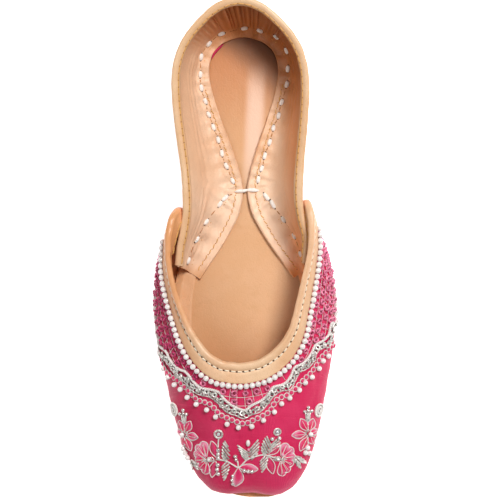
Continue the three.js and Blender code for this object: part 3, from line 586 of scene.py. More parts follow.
class Work:
    """Needlework of one finish, collected as copies and threads and then made one piece."""

    def __init__(self, name, finish, slot):
        self.name, self.finish, self.slot = name, finish, slot
        self.corners, self.faces, self.uvs, self.count = [], [], [], 0

    def add(self, corners, faces, uvs):
        self.corners.append(np.asarray(corners, float))
        self.faces += [tuple(k + self.count for k in face) for face in faces]
        self.uvs.append(uvs)
        self.count += len(corners)

    def copy(self, shape, place, size=(1, 1, 1)):
        """A copy of a modelled shape; place is a matrix in metres and size is in millimetres."""
        corners, faces, uvs = shape
        scaled = corners * np.asarray(size, float) * MM
        turn = np.array(place.to_3x3())
        self.add(scaled @ turn.T + np.array(place.translation), faces, uvs)

    def thread(self, points, normals, radius, sides=6, flat=1.0, taper=False):
        """A thread of round section along points in metres; radius is in millimetres."""
        points, normals = np.asarray(points, float), np.asarray(normals, float)
        count = len(points)
        side, lift = across(points, normals)
        run = run_along(points)
        turn = np.linspace(0, 2 * math.pi, sides, endpoint=False)
        wide = np.full(count, 1.0) * radius * MM
        if taper:
            share = np.linspace(0, 1, count)
            wide = wide * np.sqrt(np.clip(1 - (2 * share - 1) ** 6, .04, 1))
        ring = (side[:, None] * np.cos(turn)[None, :, None]
                + lift[:, None] * np.sin(turn)[None, :, None] * flat) * wide[:, None, None]
        corners = (points[:, None] + ring).reshape(-1, 3)
        faces, uvs = [], []
        for k in range(count - 1):
            for s in range(sides):
                a, b = k * sides + s, k * sides + (s + 1) % sides
                faces.append((a, b, b + sides, a + sides))
                v0, v1 = s / sides, (s + 1) / sides
                uvs += [(run[k], v0), (run[k], v1), (run[k + 1], v1), (run[k + 1], v0)]
        faces.append(tuple(range(sides - 1, -1, -1)))
        faces.append(tuple((count - 1) * sides + s for s in range(sides)))
        uvs += [(0, s / sides) for s in range(sides - 1, -1, -1)] + [(run[-1], s / sides) for s in range(sides)]
        self.add(corners, faces, uvs)

    def twisted(self, points, normals, radius, pitch, strands=2, per_turn=8, sides=5, flat=1.0, spread=.5):
        """Strands laid round each other along a line."""
        points = np.asarray(points, float)
        length = length_of(points)
        count = max(int(length / (pitch * MM) * per_turn), 6)
        points, normals = evenly(points, count), unit(evenly(normals, count))
        side, lift = across(points, normals)
        angle = np.linspace(0, length / (pitch * MM) * 2 * math.pi, count)
        for strand in range(strands):
            turn = angle + strand * 2 * math.pi / strands
            offset = (side * np.cos(turn)[:, None] + lift * np.sin(turn)[:, None] * flat) * radius * spread * MM
            self.thread(points + offset, normals, radius * (1 - spread) * 1.15, sides)

    def fine_seam(self, spots, outs, count, heights=HOOP, first=0, radius=.3):
        """Stitches one after another along a line that has six steps for each of them."""
        for k in range(count):
            part = slice(k * 6 + first, k * 6 + first + len(heights))
            self.thread(spots[part] + outs[part] * np.array(heights)[:, None] * MM, outs[part], radius, 6)

    def make(self, *nodes):
        if not self.count:
            raise RuntimeError(f"{self.name} has nothing on it")
        mesh = bpy.data.meshes.new(self.name)
        mesh.from_pydata(np.vstack(self.corners).tolist(), [], self.faces)
        layer = mesh.uv_layers.new(name="UVMap")
        flat = np.vstack([np.asarray(u, float).reshape(-1, 2) for u in self.uvs])
        if len(flat) != len(mesh.loops):
            raise RuntimeError(f"{self.name}: {len(flat)} UVs for {len(mesh.loops)} corners of faces")
        layer.data.foreach_set("uv", flat.ravel())
        mesh.polygons.foreach_set("use_smooth", [True] * len(mesh.polygons))
        mesh.materials.append(self.finish)
        mesh.update()
        piece = bpy.data.objects.new(self.name, mesh)
        bpy.context.scene.collection.objects.link(piece)
        return settle(piece, self.slot, *nodes)


class Ground:
    """A surface of the shoe that needlework is laid on, found from above or by the nearest point."""

    def __init__(self, piece):
        mesh = piece.data
        self.tree = BVHTree.FromPolygons([v.co for v in mesh.vertices], [tuple(f.vertices) for f in mesh.polygons])

    def under(self, x, y, high=80):
        """Where the surface is under a point in millimetres, and its normal, both in metres."""
        hit = self.tree.ray_cast(Vector((x * MM, y * MM, high * MM)), Vector((0, 0, -1)))
        if hit[0] is None or hit[1].z < .05:
            hit = self.tree.find_nearest(Vector((x * MM, y * MM, (hit[0].z if hit[0] else 16 * MM))))
        normal = hit[1] if hit[1].z > -.2 else -hit[1]
        return np.array(hit[0]), np.array(normal)

    def line(self, points, lift, count=None, per=14):
        """A line seen from above laid on the surface, lifted off it by millimetres."""
        curve = rounded(points, per=per) if len(points) > 2 else evenly(points, 12)
        if count:
            curve = evenly(curve, count)
        spots, normals = zip(*(self.under(*p) for p in curve))
        spots, normals = np.array(spots), np.array(normals)
        return spots + normals * lift * MM, normals

    def ring(self, x, y, radius, lift):
        """A round loop on the surface about a place seen from above."""
        spot, normal = self.under(x, y)
        place = frame_on(spot, normal, (0, 1, 0))
        hits = [self.tree.find_nearest(place @ Vector((math.cos(t) * radius * MM, math.sin(t) * radius * MM, 0)))
                for t in np.linspace(0, math.tau, 49)]
        normals = np.array([hit[1] for hit in hits])
        return np.array([hit[0] for hit in hits]) + normals * lift * MM, normals

    def place(self, x, y, toward, lift=0.0):
        """A matrix on the surface whose X axis points toward a plan direction and Z out of it."""
        spot, normal = self.under(x, y)
        return frame_on(spot + normal * lift * MM, normal, (toward[0], toward[1], 0))


def frame_on(spot, normal, toward):
    normal = Vector(normal).normalized()
    ahead = Vector(toward)
    ahead = (ahead - normal * ahead.dot(normal))
    ahead = ahead.normalized() if ahead.length > 1e-6 else normal.orthogonal().normalized()
    side = normal.cross(ahead)
    place = Matrix((ahead, side, normal)).transposed().to_4x4()
    place.translation = Vector(spot)
    return place


# Finishes

class Value:
    """A number or colour in a material's nodes; arithmetic on it adds Math nodes."""

    def __init__(self, finish, socket):
        self.finish, self.socket = finish, socket

    def _math(self, operation, *others, first=False):
        values = [self, *others] if not first else [*others, self]
        return self.finish.node("Math", values, operation=operation)

    def __add__(self, other): return self._math("ADD", other)
    def __radd__(self, other): return self._math("ADD", other, first=True)
    def __sub__(self, other): return self._math("SUBTRACT", other)
    def __rsub__(self, other): return self._math("SUBTRACT", other, first=True)
    def __mul__(self, other): return self._math("MULTIPLY", other)
    def __rmul__(self, other): return self._math("MULTIPLY", other, first=True)
    def __truediv__(self, other): return self._math("DIVIDE", other)
    def __pow__(self, other): return self._math("POWER", other)
    def wave(self): return self._math("SINE") * .5 + .5
    def above(self, low, high):
        return self.finish.node("MapRange", [self, low, high, 0.0, 1.0], interpolation_type="SMOOTHSTEP")


class Finish:
    """A material of the shoe, built from its nodes."""

    def __init__(self, name, colour, roughness, **fixed):
        self.material = bpy.data.materials.new(name)
        self.material.use_nodes = True
        self.tree = self.material.node_tree
        self.shader = next(n for n in self.tree.nodes if n.type == "BSDF_PRINCIPLED")
        self.feed(Base_Color=(*colour, 1), Roughness=roughness, **fixed)

    def feed(self, **sockets):
        for name, value in sockets.items():
            self._set(self.shader.inputs[name.replace("_", " ")], value)
        return self

    def _set(self, socket, value):
        if isinstance(value, Value):
            self.tree.links.new(value.socket, socket)
        else:
            socket.default_value = value

    def node(self, kind, values=(), out=0, stops=None, **settings):
        """Adds a node: its settings first, then the values of its sockets in order or by name."""
        node = self.tree.nodes.new("ShaderNode" + kind)
        for key, value in settings.items():
            setattr(node, key, value)
        if stops:
            ramp = node.color_ramp
            while len(ramp.elements) < len(stops):
                ramp.elements.new(1.0)
            for element, (place, colour) in zip(ramp.elements, stops):
                element.position, element.color = place, (*colour, 1)
        pairs = values.items() if isinstance(values, dict) else enumerate(values)
        for key, value in pairs:
            self._set(node.inputs[key], value)
        return Value(self, node.outputs[out])

    def place(self):
        return self.node("TexCoord", out="Object")

    def laid(self):
        return self.node("UVMap", uv_map="UVMap")

    def split(self, vector):
        node = self.node("SeparateXYZ", [vector])
        return [Value(self, node.socket.node.outputs[k]) for k in range(3)]

    def stretched(self, vector, scale):
        return self.node("Mapping", {"Vector": vector, "Scale": scale})

    def noise(self, vector, scale, detail=3.0, rough=.5):
        return self.node("TexNoise", {"Vector": vector, "Scale": scale, "Detail": detail, "Roughness": rough})

    def cells(self, vector, scale, feature="F1"):
        return self.node("TexVoronoi", {"Vector": vector, "Scale": scale}, feature=feature)

    def blend(self, factor, a, b):
        wide = lambda c: (*c, 1) if isinstance(c, tuple) and len(c) == 3 else c
        return self.node("Mix", {0: factor, 6: wide(a), 7: wide(b)}, out=2, data_type="RGBA")

    def bump(self, height, strength, distance):
        return self.node("Bump", {"Height": height, "Strength": strength, "Distance": distance})


def rgb(code):
    """A colour written as six hexadecimal digits, as linear values."""
    parts = [int(code[k:k + 2], 16) / 255 for k in (0, 2, 4)]
    return tuple(p / 12.92 if p <= .04045 else ((p + .055) / 1.055) ** 2.4 for p in parts)


def leather(name, colour, pale, dark, roughness=.48, grain=1.0, coat=.12, wear_and_painted_light=(), high=None, painted_highlights=()):
    """Thin vegetable-tanned leather: soft stains, fine pores and creases, a light polish.

    worn holds painted light and shade, gradients that darken the leather where shadows fall and pale it
    where sheen falls: a start and an end in plan, a colour, an amount. high is a colour that it fades to on
    the walls, painted light where they catch more of the lamp. streaks are painted highlights, long pale
    patches of sheen: two ends, half width, colour, amount.
    """
    finish = Finish(name, colour, roughness, Coat_Weight=coat, Coat_Roughness=.35, Specular_IOR_Level=.4)
    at = finish.place()
    stain = finish.noise(at, 38, 4, .55)
    cloud = finish.noise(at, 130, 5, .6)
    pores = finish.cells(at, 1500)
    creases = finish.cells(finish.stretched(at, (1, .55, 1)), 620, "DISTANCE_TO_EDGE")
    tone = finish.blend(stain.above(.38, .66) * .7, colour, pale)
    tone = finish.blend(cloud.above(.5, .8) * .28, tone, dark)
    tone = finish.blend((1 - pores.above(.08, .42)) * .3, tone, dark)
    x, y, z = finish.split(at)
    # Painted light: the walls fade to a lighter colour higher up, where they catch more of the lamp than the sock
    if high:
        tone = finish.blend(z.above(.013, .03) * .8, tone, high)
    # Painted light and shade: gradients in plan that darken the leather where shadows fall and pale it where sheen
    # falls
    for (x0, y0), (x1, y1), painted_colour, amount in wear_and_painted_light:
        dx, dy = (x1 - x0) * MM, (y1 - y0) * MM
        along = ((x - x0 * MM) * dx + (y - y0 * MM) * dy) / (dx * dx + dy * dy)
        tone = finish.blend(along.above(0, 1) * amount, tone, rgb(painted_colour))
    # Painted highlights: long pale patches that stand in for the sheen of the lamp
    for (x0, y0), (x1, y1), half, highlight_colour, amount in painted_highlights:
        long = math.hypot(x1 - x0, y1 - y0)
        ux, uy = (x1 - x0) / long, (y1 - y0) / long
        along = ((x - x0 * MM) * ux + (y - y0 * MM) * uy) / (long * MM)
        aside = ((x - x0 * MM) * uy - (y - y0 * MM) * ux) / (half * MM)
        near = (1 - aside * aside).above(0, 1) ** 2 * (along * (1 - along)).above(0, .25)
        tone = finish.blend(near * amount, tone, rgb(highlight_colour))
    skin = creases.above(0, .12) * .6 + pores * .5 + cloud * .7
    finish.feed(Base_Color=tone, Roughness=cloud * .22 + (roughness - .1),
                Normal=finish.bump(skin, .35 * grain, .0003))
    return finish.material


def raw_silk(name, colour, deep, bright):
    """Plain-woven raw silk with slubs: the threads follow the cloth's own UV map."""
    finish = Finish(name, colour, .55, Sheen_Weight=.12, Sheen_Roughness=.35, Sheen_Tint=(*bright, 1))
    u, v, _ = finish.split(finish.laid())
    slub = finish.noise(finish.stretched(finish.laid(), (90, 900, 1)), 1.0, 4, .6)
    warp = finish.noise(finish.stretched(finish.laid(), (1100, 70, 1)), 1.0, 3, .6)
    drift = finish.noise(finish.place(), 45, 3, .5)
    fold = slub * .0011
    across = ((u + fold) * (2 * math.pi / .00062)).wave()
    down = ((v + fold) * (2 * math.pi / .00052)).wave()
    weave = across * down
    tone = finish.blend(drift.above(.35, .7) * .8, colour, bright)
    x = finish.split(finish.place())[0]
    # Painted shade: the silk is painted a deeper crimson toward the left side, away from the lamp
    tone = finish.blend((0 - x).above(-.018, .036) * .6, tone, rgb("b80d44"))
    tone = finish.blend((1 - weave) * .30, tone, deep)
    tone = finish.blend(slub.above(.56, .74) * .4, tone, bright)
    tone = finish.blend(warp.above(.58, .8) * .45, tone, deep)
    finish.feed(Base_Color=tone, Roughness=.62 - slub * .22,
                Normal=finish.bump(weave * .6 + slub * .8 + warp * .4, .45, .00025))
    return finish.material


def thread(name, colour, shade, roughness=.5, metal=0.0, pitch=.0007, sheen=0.0, coat=0.0, plies=.55):
    """A spun thread: its plies wind round it, read from its own UV map."""
    finish = Finish(name, colour, roughness, Metallic=metal, Sheen_Weight=sheen, Coat_Weight=coat, Coat_Roughness=.2)
    u, v, _ = finish.split(finish.laid())
    ply = ((u * (1 / pitch) + v) * (2 * math.pi)).wave()
    wear_and_painted_light = finish.noise(finish.place(), 420, 3, .6)
    tone = finish.blend((1 - ply) * plies, colour, shade)
    tone = finish.blend(wear_and_painted_light.above(.55, .8) * .4, tone, shade)
    finish.feed(Base_Color=tone, Roughness=wear_and_painted_light * .25 + (roughness - .12),
                Normal=finish.bump(ply, plies * .7, .0001))
    return finish.material


def metal_thread(name, colour, shade, roughness=.3, metal=.85):
    """Drawn and coiled metal wire with a slight tarnish between its turns."""
    finish = Finish(name, colour, roughness, Metallic=metal, Coat_Weight=.2, Coat_Roughness=.15)
    at = finish.place()
    tarnish = finish.noise(at, 700, 3, .6)
    glint = finish.noise(at, 1600, 2, .5)
    tone = finish.blend(tarnish.above(.44, .7) * .75, colour, shade)
    finish.feed(Base_Color=tone, Roughness=glint * .3 + (roughness - .12),
                Normal=finish.bump(glint, .3, .00012))
    return finish.material


def petal_silk(name, base, tip):
    """Floss laid side by side, darker at the foot of a petal than at its tip."""
    finish = Finish(name, base, .42)
    u, v, _ = finish.split(finish.laid())
    strands = ((u * 16 + v * 2) * (2 * math.pi)).wave()
    wear_and_painted_light = finish.noise(finish.place(), 500, 3, .6)
    aside = (u - .5) * (u - .5)
    tone = finish.blend((v * .75 + aside * 2.4 + wear_and_painted_light * .25).above(.5, 1.0), base, tip)
    tone = finish.blend((1 - strands) * .16, tone, tuple(c * .45 for c in base))
    finish.feed(Base_Color=tone, Roughness=.34 + wear_and_painted_light * .2, Normal=finish.bump(strands, .5, .00015))
    return finish.material


def pearl_finish(name, colour, shade, roughness=.2, metal=0.0):
    """A glass pearl: a hard clear skin over a milky body with faint clouds."""
    finish = Finish(name, colour, roughness, Metallic=metal, Coat_Weight=.8, Coat_Roughness=.05,
                    Specular_IOR_Level=.6)
    cloud = finish.noise(finish.place(), 380, 3, .6)
    fine = finish.noise(finish.place(), 1800, 2, .5)
    tone = finish.blend(cloud.above(.45, .75) * .8, colour, shade)
    finish.feed(Base_Color=tone, Roughness=fine * .15 + (roughness - .05),
                Normal=finish.bump(fine, .08, .0001))
    return finish.material


FINISHES = {}


def finish(name):
    """The named finish, made when it is first asked for."""
    if name not in FINISHES:
        tones = bpy.context.scene.mojari_colours
        pick = lambda key: tuple(getattr(tones, key))
        shaded = lambda c, k: tuple(v * k for v in c)
        FINISHES[name] = {
            # The lining's gradients are painted light and shade: paler front flaps for sheen, darker toward the toe
            # under the vamp, a more orange right wall in shade, a darker heel back and a painted shadow in its
            # right-back corner; high paints the walls lighter where they catch more light
            "lining": lambda: leather(
                "tan_lining", pick("lining"), rgb("f2d0b2"), rgb("cb955f"), high=rgb("ffd8b2"), wear_and_painted_light=(
                    ((0, 46), (0, 22), "ffe0c4", .6), ((0, -4), (0, -12), "dca26c", .75),
                    ((18, 0), (28, 0), "f4953e", .66), ((-16, 88), (2, 120), "ee9646", .85),
                    ((-2, 88), (24, 108), "7a401b", .75))),
            # The binding's left side is painted darker and more orange: painted shade on the side away from the lamp
            "binding": lambda: leather("tan_binding", pick("binding"), rgb("f6d2ac"), rgb("cf9a66"), .36, .7, .35,
                                       wear_and_painted_light=(((-18, 0), (-38, 0), "e08d46", .7),)),
            "collar": lambda: leather("pale_collar", pick("collar"), rgb("f2cca4"), rgb("c88d58"), .38, .6, .3),
            # The sock's gradients are painted shade: darker toward the toe under the vamp and toward the heel, a
            # near-black painted shadow at the right-back corner and a dark right side in the wall's shadow; its
            # streak is a painted highlight of sheen
            "sock": lambda: leather("sock_leather", pick("sock"), rgb("e3b488"), rgb("c98f58"), .38, .45, .3, wear_and_painted_light=(
                ((0, -28), (0, -72), "b87038", .62), ((-10, 44), (-4, 104), "bd6f35", .7),
                ((3, 84), (20, 104), "34190a", .92), ((19, 0), (37, 0), "74431f", .85)),
                painted_highlights=(((7.8, 98), (3.4, 26), 7.0, "f6d6c0", .7),)),
            "sole": lambda: leather("sole_leather", pick("sole"), rgb("eec48c"), rgb("96652f"), .6, 1.3, .05),
            "silk": lambda: raw_silk("raspberry_silk", pick("silk"), shaded(pick("silk"), .5), rgb("ee3a70")),
            "slip": lambda: thread("silk_slip", rgb("c81a50"), rgb("8e1038"), .6, plies=.2),
            "pearl": lambda: pearl_finish("glass_pearl", pick("pearl"), rgb("ddd3ce")),
            "silver_bead": lambda: pearl_finish("silver_bead", rgb("eeebe7"), rgb("aaa5a0"), .16, .6),
            "pink_bead": lambda: pearl_finish("pink_bead", rgb("f2a7c0"), rgb("d9698f"), .25),
            "crystal": lambda: pearl_finish("cut_crystal", rgb("e8ecef"), rgb("aeb6bd"), .08, .35),
            "silver": lambda: metal_thread("silver_bullion", pick("silver"), rgb("857f77"), .28, .45),
            # A dark ground for under the band's coils so that the gaps between them read dark: painted shade
            "shadow": lambda: metal_thread("painted_shadow_ground", rgb("8c8782"), rgb("3d3936"), .4, .3),
            "cord": lambda: thread("silver_cord_thread", rgb("faf6f1"), rgb("cfc7c0"), .38, metal=.1, pitch=.0009),
            # Dark beads set in the holes of the rose coils: painted shade in the holes
            "rose_hole_shade_bead": lambda: pearl_finish("rose_hole_shade_bead", rgb("8e1038"), rgb("5c0820"), .5),
            "rose": lambda: metal_thread("rose_bullion", pick("rose"), rgb("b02858"), .3, .15),
            # A darker copy of the rose finish for the coils on the left side: painted shade on the side away from the
            # lamp
            "crimson": lambda: metal_thread("rose_bullion_painted_shade", rgb("cf3a70"), rgb("86123c"), .3, .15),
            "pink": lambda: thread("hot_pink_floss", pick("floss"), shaded(pick("floss"), .5), .42, sheen=.3),
            "petal": lambda: petal_silk("petal_floss", rgb("ef2f6e"), rgb("f99bba")),
            "deep_petal": lambda: petal_silk("deep_petal_floss", rgb("ea125a"), rgb("f2588a")),
            "cotton": lambda: thread("white_cotton", rgb("f8f4ee"), rgb("d9cbb9"), .8, pitch=.0016, sheen=.3,
                                     plies=.08),
            "cream": lambda: thread("cream_thread", rgb("f8eed8"), rgb("d6bf98"), .6, pitch=.0006, plies=.2),
            "ochre": lambda: thread("ochre_thread", rgb("e2ac60"), rgb("b98344"), .55, pitch=.0005, plies=.3),
            # Brown for the sunk slits between the fold stitches and the pricked dimples of the seams: painted shade
            # in their dents
            "slit": lambda: leather("crease_painted_shade", rgb("b87a45"), rgb("c68a55"), rgb("96602f"), .7),
            # Near-black discs at the needle holes: painted shade in the holes
            "hole": lambda: leather("needle_hole_painted_shade", rgb("4a2a14"), rgb("5c3820"), rgb("2a160a"), .8),
        }[name]()
    return FINISHES[name]


# Values that a user may change

def length_property(name, description, default, low, high):
    return bpy.props.FloatProperty(name=name, description=description, default=default, min=low, max=high,
                                   precision=2)


def colour_property(name, description, code):
    return bpy.props.FloatVectorProperty(name=name, description=description, default=rgb(code), subtype="COLOR",
                                         size=3, min=0, max=1)


class MojariSizes(bpy.types.PropertyGroup):
    """Sizes of the trimming, in millimetres"""
    pearl: length_property("Pearl", "Diameter of the pearls round the throat, in mm", 3.0, 1.5, 4)
    rosette: length_property("Rosette", "Diameter of the rose coils, in mm", 3.3, 1.5, 4.5)
    band: length_property("Band", "Width of the crinkled silver band, in mm", 3.6, 1.5, 5)
    fold_stitch: length_property("Fold stitch", "Length of the white stitches in the fold, in mm", 3.4, 1, 5)
    collar_pitch: length_property("Collar pitch", "Spacing of the fine stitches under the collar, in mm", 3.4, 1, 5)
    binding_pitch: length_property("Binding pitch", "Spacing of the stitches in the binding, in mm", 3.2, 1.5, 6)
    silk: length_property("Silk", "Thickness of the backed silk, in mm", 0.9, 0.4, 1.2)


class MojariColours(bpy.types.PropertyGroup):
    """Colours of the materials"""
    silk: colour_property("Silk", "Raspberry silk of the vamp", "e61d5c")
    lining: colour_property("Lining", "Leather that lines the quarter", "e8bb95")
    binding: colour_property("Binding", "Leather bound round the throat", "f0bf94")
    collar: colour_property("Collar", "Leather rolled over the top edge", "e8b98c")
    sock: colour_property("Sock", "Leather sock on the sole", "ddab7c")
    sole: colour_property("Sole", "Leather of the sole", "e6b074")
    pearl: colour_property("Pearls", "Glass pearls", "f6f1ee")
    silver: colour_property("Silver", "Silver bullion and cord", "f0ece6")
    rose: colour_property("Rose", "Rose coils", "ee86a8")
    floss: colour_property("Floss", "Hot pink floss", "ee2f6e")
    wall: colour_property("Surroundings", "Light of the room", "fff0e2")


def sizes():
    return bpy.context.scene.mojari_sizes


def ripple(points, amount, scale, seed=0.0):
    """Small uneven height for each point of a grid, in millimetres."""
    flat = points.reshape(-1, 3) / scale
    values = [noise.noise(Vector((p[0] + seed, p[1], p[2]))) for p in flat]
    return np.array(values).reshape(points.shape[:-1]) * amount


def puckered(grid, *waves):
    """A grid moved in and out by small waves: an amount, a scale and a seed for each."""
    out = unit(np.cross(np.gradient(grid, axis=1), np.gradient(grid, axis=0)))
    return grid + out * sum(ripple(grid, *wave) for wave in waves)[..., None]


def fold_line():
    """The hand-stitched fold, from the right front end round the heel to the left front end."""
    return rounded(FOLD_RIGHT[::-1] + FOLD_LEFT, per=FOLD_STEPS)


SHARED = {}


def ball_shape(segments, rings, radius):
    return modelled(lambda: bpy.ops.mesh.primitive_uv_sphere_add(segments=segments, ring_count=rings, radius=radius))


class MOJARI_OT_sole(bpy.types.Operator):
    """Make the leather outsole with its rounded edge, seam and hand stitches"""
    bl_idname = "mojari.sole"
    bl_label = "Sole"

    def execute(self, context):
        shares = np.concatenate([[0.0, .012, .03], np.linspace(.06, .94, 14), [.97, .988, 1.0]])
        rise = [(1, .55), (.97, .22), (.9, 0), (.62, 0), (.58, .35), (.54, .5), (.5, .35), (.46, 0), (.14, 0),
                (.05, .2), (0, .6)]
        rings = []
        for y in stations(OUTLINE, .02, 130):
            left, right = edges_at(OUTLINE, y)
            bottom, top = float(sole_bottom(y)), float(sole_top(y))
            narrow = min(1, (right - left) / 8)
            side = lambda edge, sign: [(edge - sign * inset * narrow, y, bottom + (top - bottom) * r)
                                       for r, inset in rise]
            deck = [(left + (right - left) * s, y, top - .15 * (abs(s - .5) < .44)) for s in shares]
            under = [(right - (right - left) * s, y, bottom + .25 * (abs(s - .5) < .45)) for s in shares]
            left_side = side(left, -1)
            right_side = side(right, 1)
            rings.append(left_side[::-1] + deck[1:-1] + right_side + under[1:-1] + [left_side[-1]])
        grid = np.array(rings)
        poles = [np.broadcast_to(ring.mean(axis=0), ring.shape)[None] for ring in (grid[0], grid[-1])]
        grid = np.concatenate([poles[0], grid, poles[1]])
        piece = grid_piece("sole_leather", grid, finish("sole"), merge=True)
        settle(piece, "sole_leather", "outsole")
        self.stitches()
        return {"FINISHED"}

    def stitches(self):
        """A row of waxed stitches along the underside, a finger's width in from the edge."""
        work = Work("sole_stitching", finish("cream"), "sole_leather")
        row = evenly(inset_outline(SOLE_SEAM_INSET), 130, closed=True)
        for a, b in zip(row, np.roll(row, -1, axis=0)):
            places = [a + (b - a) * t for t in (0, .15, .5, .85)]
            spots = [(p[0], p[1], float(sole_bottom(p[1])) + dz) for p, dz in zip(places, (.7, .34, .32, .7))]
            work.thread(world(spots), [(0, 0, -1)] * 4, .3, 5)
        work.make()


class MOJARI_OT_sock(bpy.types.Operator):
    """Make the crowned leather sock that lies in the shoe"""
    bl_idname = "mojari.sock"
    bl_label = "Sock"

    def execute(self, context):
        inset = inset_outline(SOCK_INSET + CLEAR)
        rows = []
        for y in stations(inset, .015, 150):
            left, right = edges_at(inset, y)
            row = []
            for s in np.concatenate([[0, .01, .03], np.linspace(.06, .94, 40), [.97, .99, 1]]):
                x = left + (right - left) * s
                drop = .55 * math.exp(-min(x - left, right - x) / .5)
                row.append((x, y, float(sock_top(x, y)) - drop))
            rows.append(row)
        grid = np.array(rows)
        grid[..., 2] += ripple(grid, .22, 26, 3) + ripple(grid, .06, 5, 9)
        piece = grid_piece("sock_lining", grid, finish("sock"), thickness=1.9)
        settle(piece, "sock_leather", "insole")
        return {"FINISHED"}


class MOJARI_OT_vamp(bpy.types.Operator):
    """Make the silk vamp, its leather lining and the lining's turned-in edge"""
    bl_idname = "mojari.vamp"
    bl_label = "Vamp"

    def execute(self, context):
        at = np.linspace(0, 1, 361)[:, None]
        share = np.linspace(0, 1, 71)[None, :]
        depth = share * VAMP.length_at(at)
        point, out, _ = VAMP.face(at, depth)
        quilt = ripple(point, .34, 7, 1) + ripple(point, .12, 2.6, 5)
        fade = smooth(0, 6, depth) * smooth(0, 8, VAMP.length_at(at) - depth)
        silk = point + out * (quilt * fade - .12)[..., None]
        piece = grid_piece("vamp_silk", silk, finish("silk"), sizes().silk, VAMP.laid_flat(at, depth))
        settle(piece, "pink_silk", "upper_vamp")
        SHARED["silk"] = Ground(piece)

        inner = point - out * wall_at(depth)[..., None]
        crease = ripple(inner, .3, 9, 2) * smooth(2, 9, depth)
        inner = (inner - out * crease[..., None])[:, ::-1]
        piece = grid_piece("vamp_lining", inner, finish("lining"), thickness=.22)
        settle(piece, "pink_silk", "upper_vamp")
        self.margin()
        return {"FINISHED"}

    def margin(self):
        """The lining turned in over the sock, held by the same white stitches."""
        rows = []
        for at in np.linspace(.112, .888, 260):
            row = row_at(VAMP_ROWS, at)
            inset = SOLE_LEDGE + WALL + 3 * CLEAR
            start = inset - .8 + row[10] * (TOE_LEDGE - SOLE_LEDGE + 2 * CLEAR)
            strip = []
            for t in np.concatenate([np.linspace(1, 0, 12), [-.1, -.2, -.3, -.4, -.5]]):
                reach = max(-t, 0) * (1 - row[10])
                spot, _ = seat_on_sole(row[3] * BALL / 2, row[4] * LENGTH,
                                       start + (inset + 5.5 - start) * max(t, 0) - 5 * reach)
                height = 1.1 - .3 * t - .35 * float(smooth(.9, 1, t)) + 9 * reach ** 1.2
                strip.append((spot[0], spot[1], float(sock_top(spot[0], spot[1])) + CLEAR + height))
            rows.append(strip)
        grid = np.array(rows)
        grid[..., 2] += ripple(grid, .3, 5, 4)
        piece = grid_piece("toe_margin", grid, finish("lining"), thickness=.7)
        settle(piece, "tan_leather", "vamp_margin")
        work = Work("toe_margin_stitches", finish("cotton"), "tan_leather")
        ground = Ground(piece)
        seats = []
        for at in np.linspace(.14, .86, 240):
            row = row_at(VAMP_ROWS, at)
            spot, out = seat_on_sole(row[3] * BALL / 2, row[4] * LENGTH, 3.2 + 2.2 * row[10])
            seats.append([spot[0], spot[1], 0, -out[1], out[0]])
        for seat in evenly(seats, 29)[1:]:
            spot, way = np.append(seat[:2], 0), seat[3:]
            points = []
            for t, lift in zip(np.linspace(-1.4, 1.4, 7), (-.6, .3, .6, .65, .6, .3, -.6)):
                p, _ = ground.under(*((spot + SHIFT)[:2] + way * t), high=26)
                points.append(p + np.array([0, 0, lift * MM]))
            work.thread(points, [(0, 0, 1)] * 7, .98, 8, flat=.8, taper=True)
        work.make()


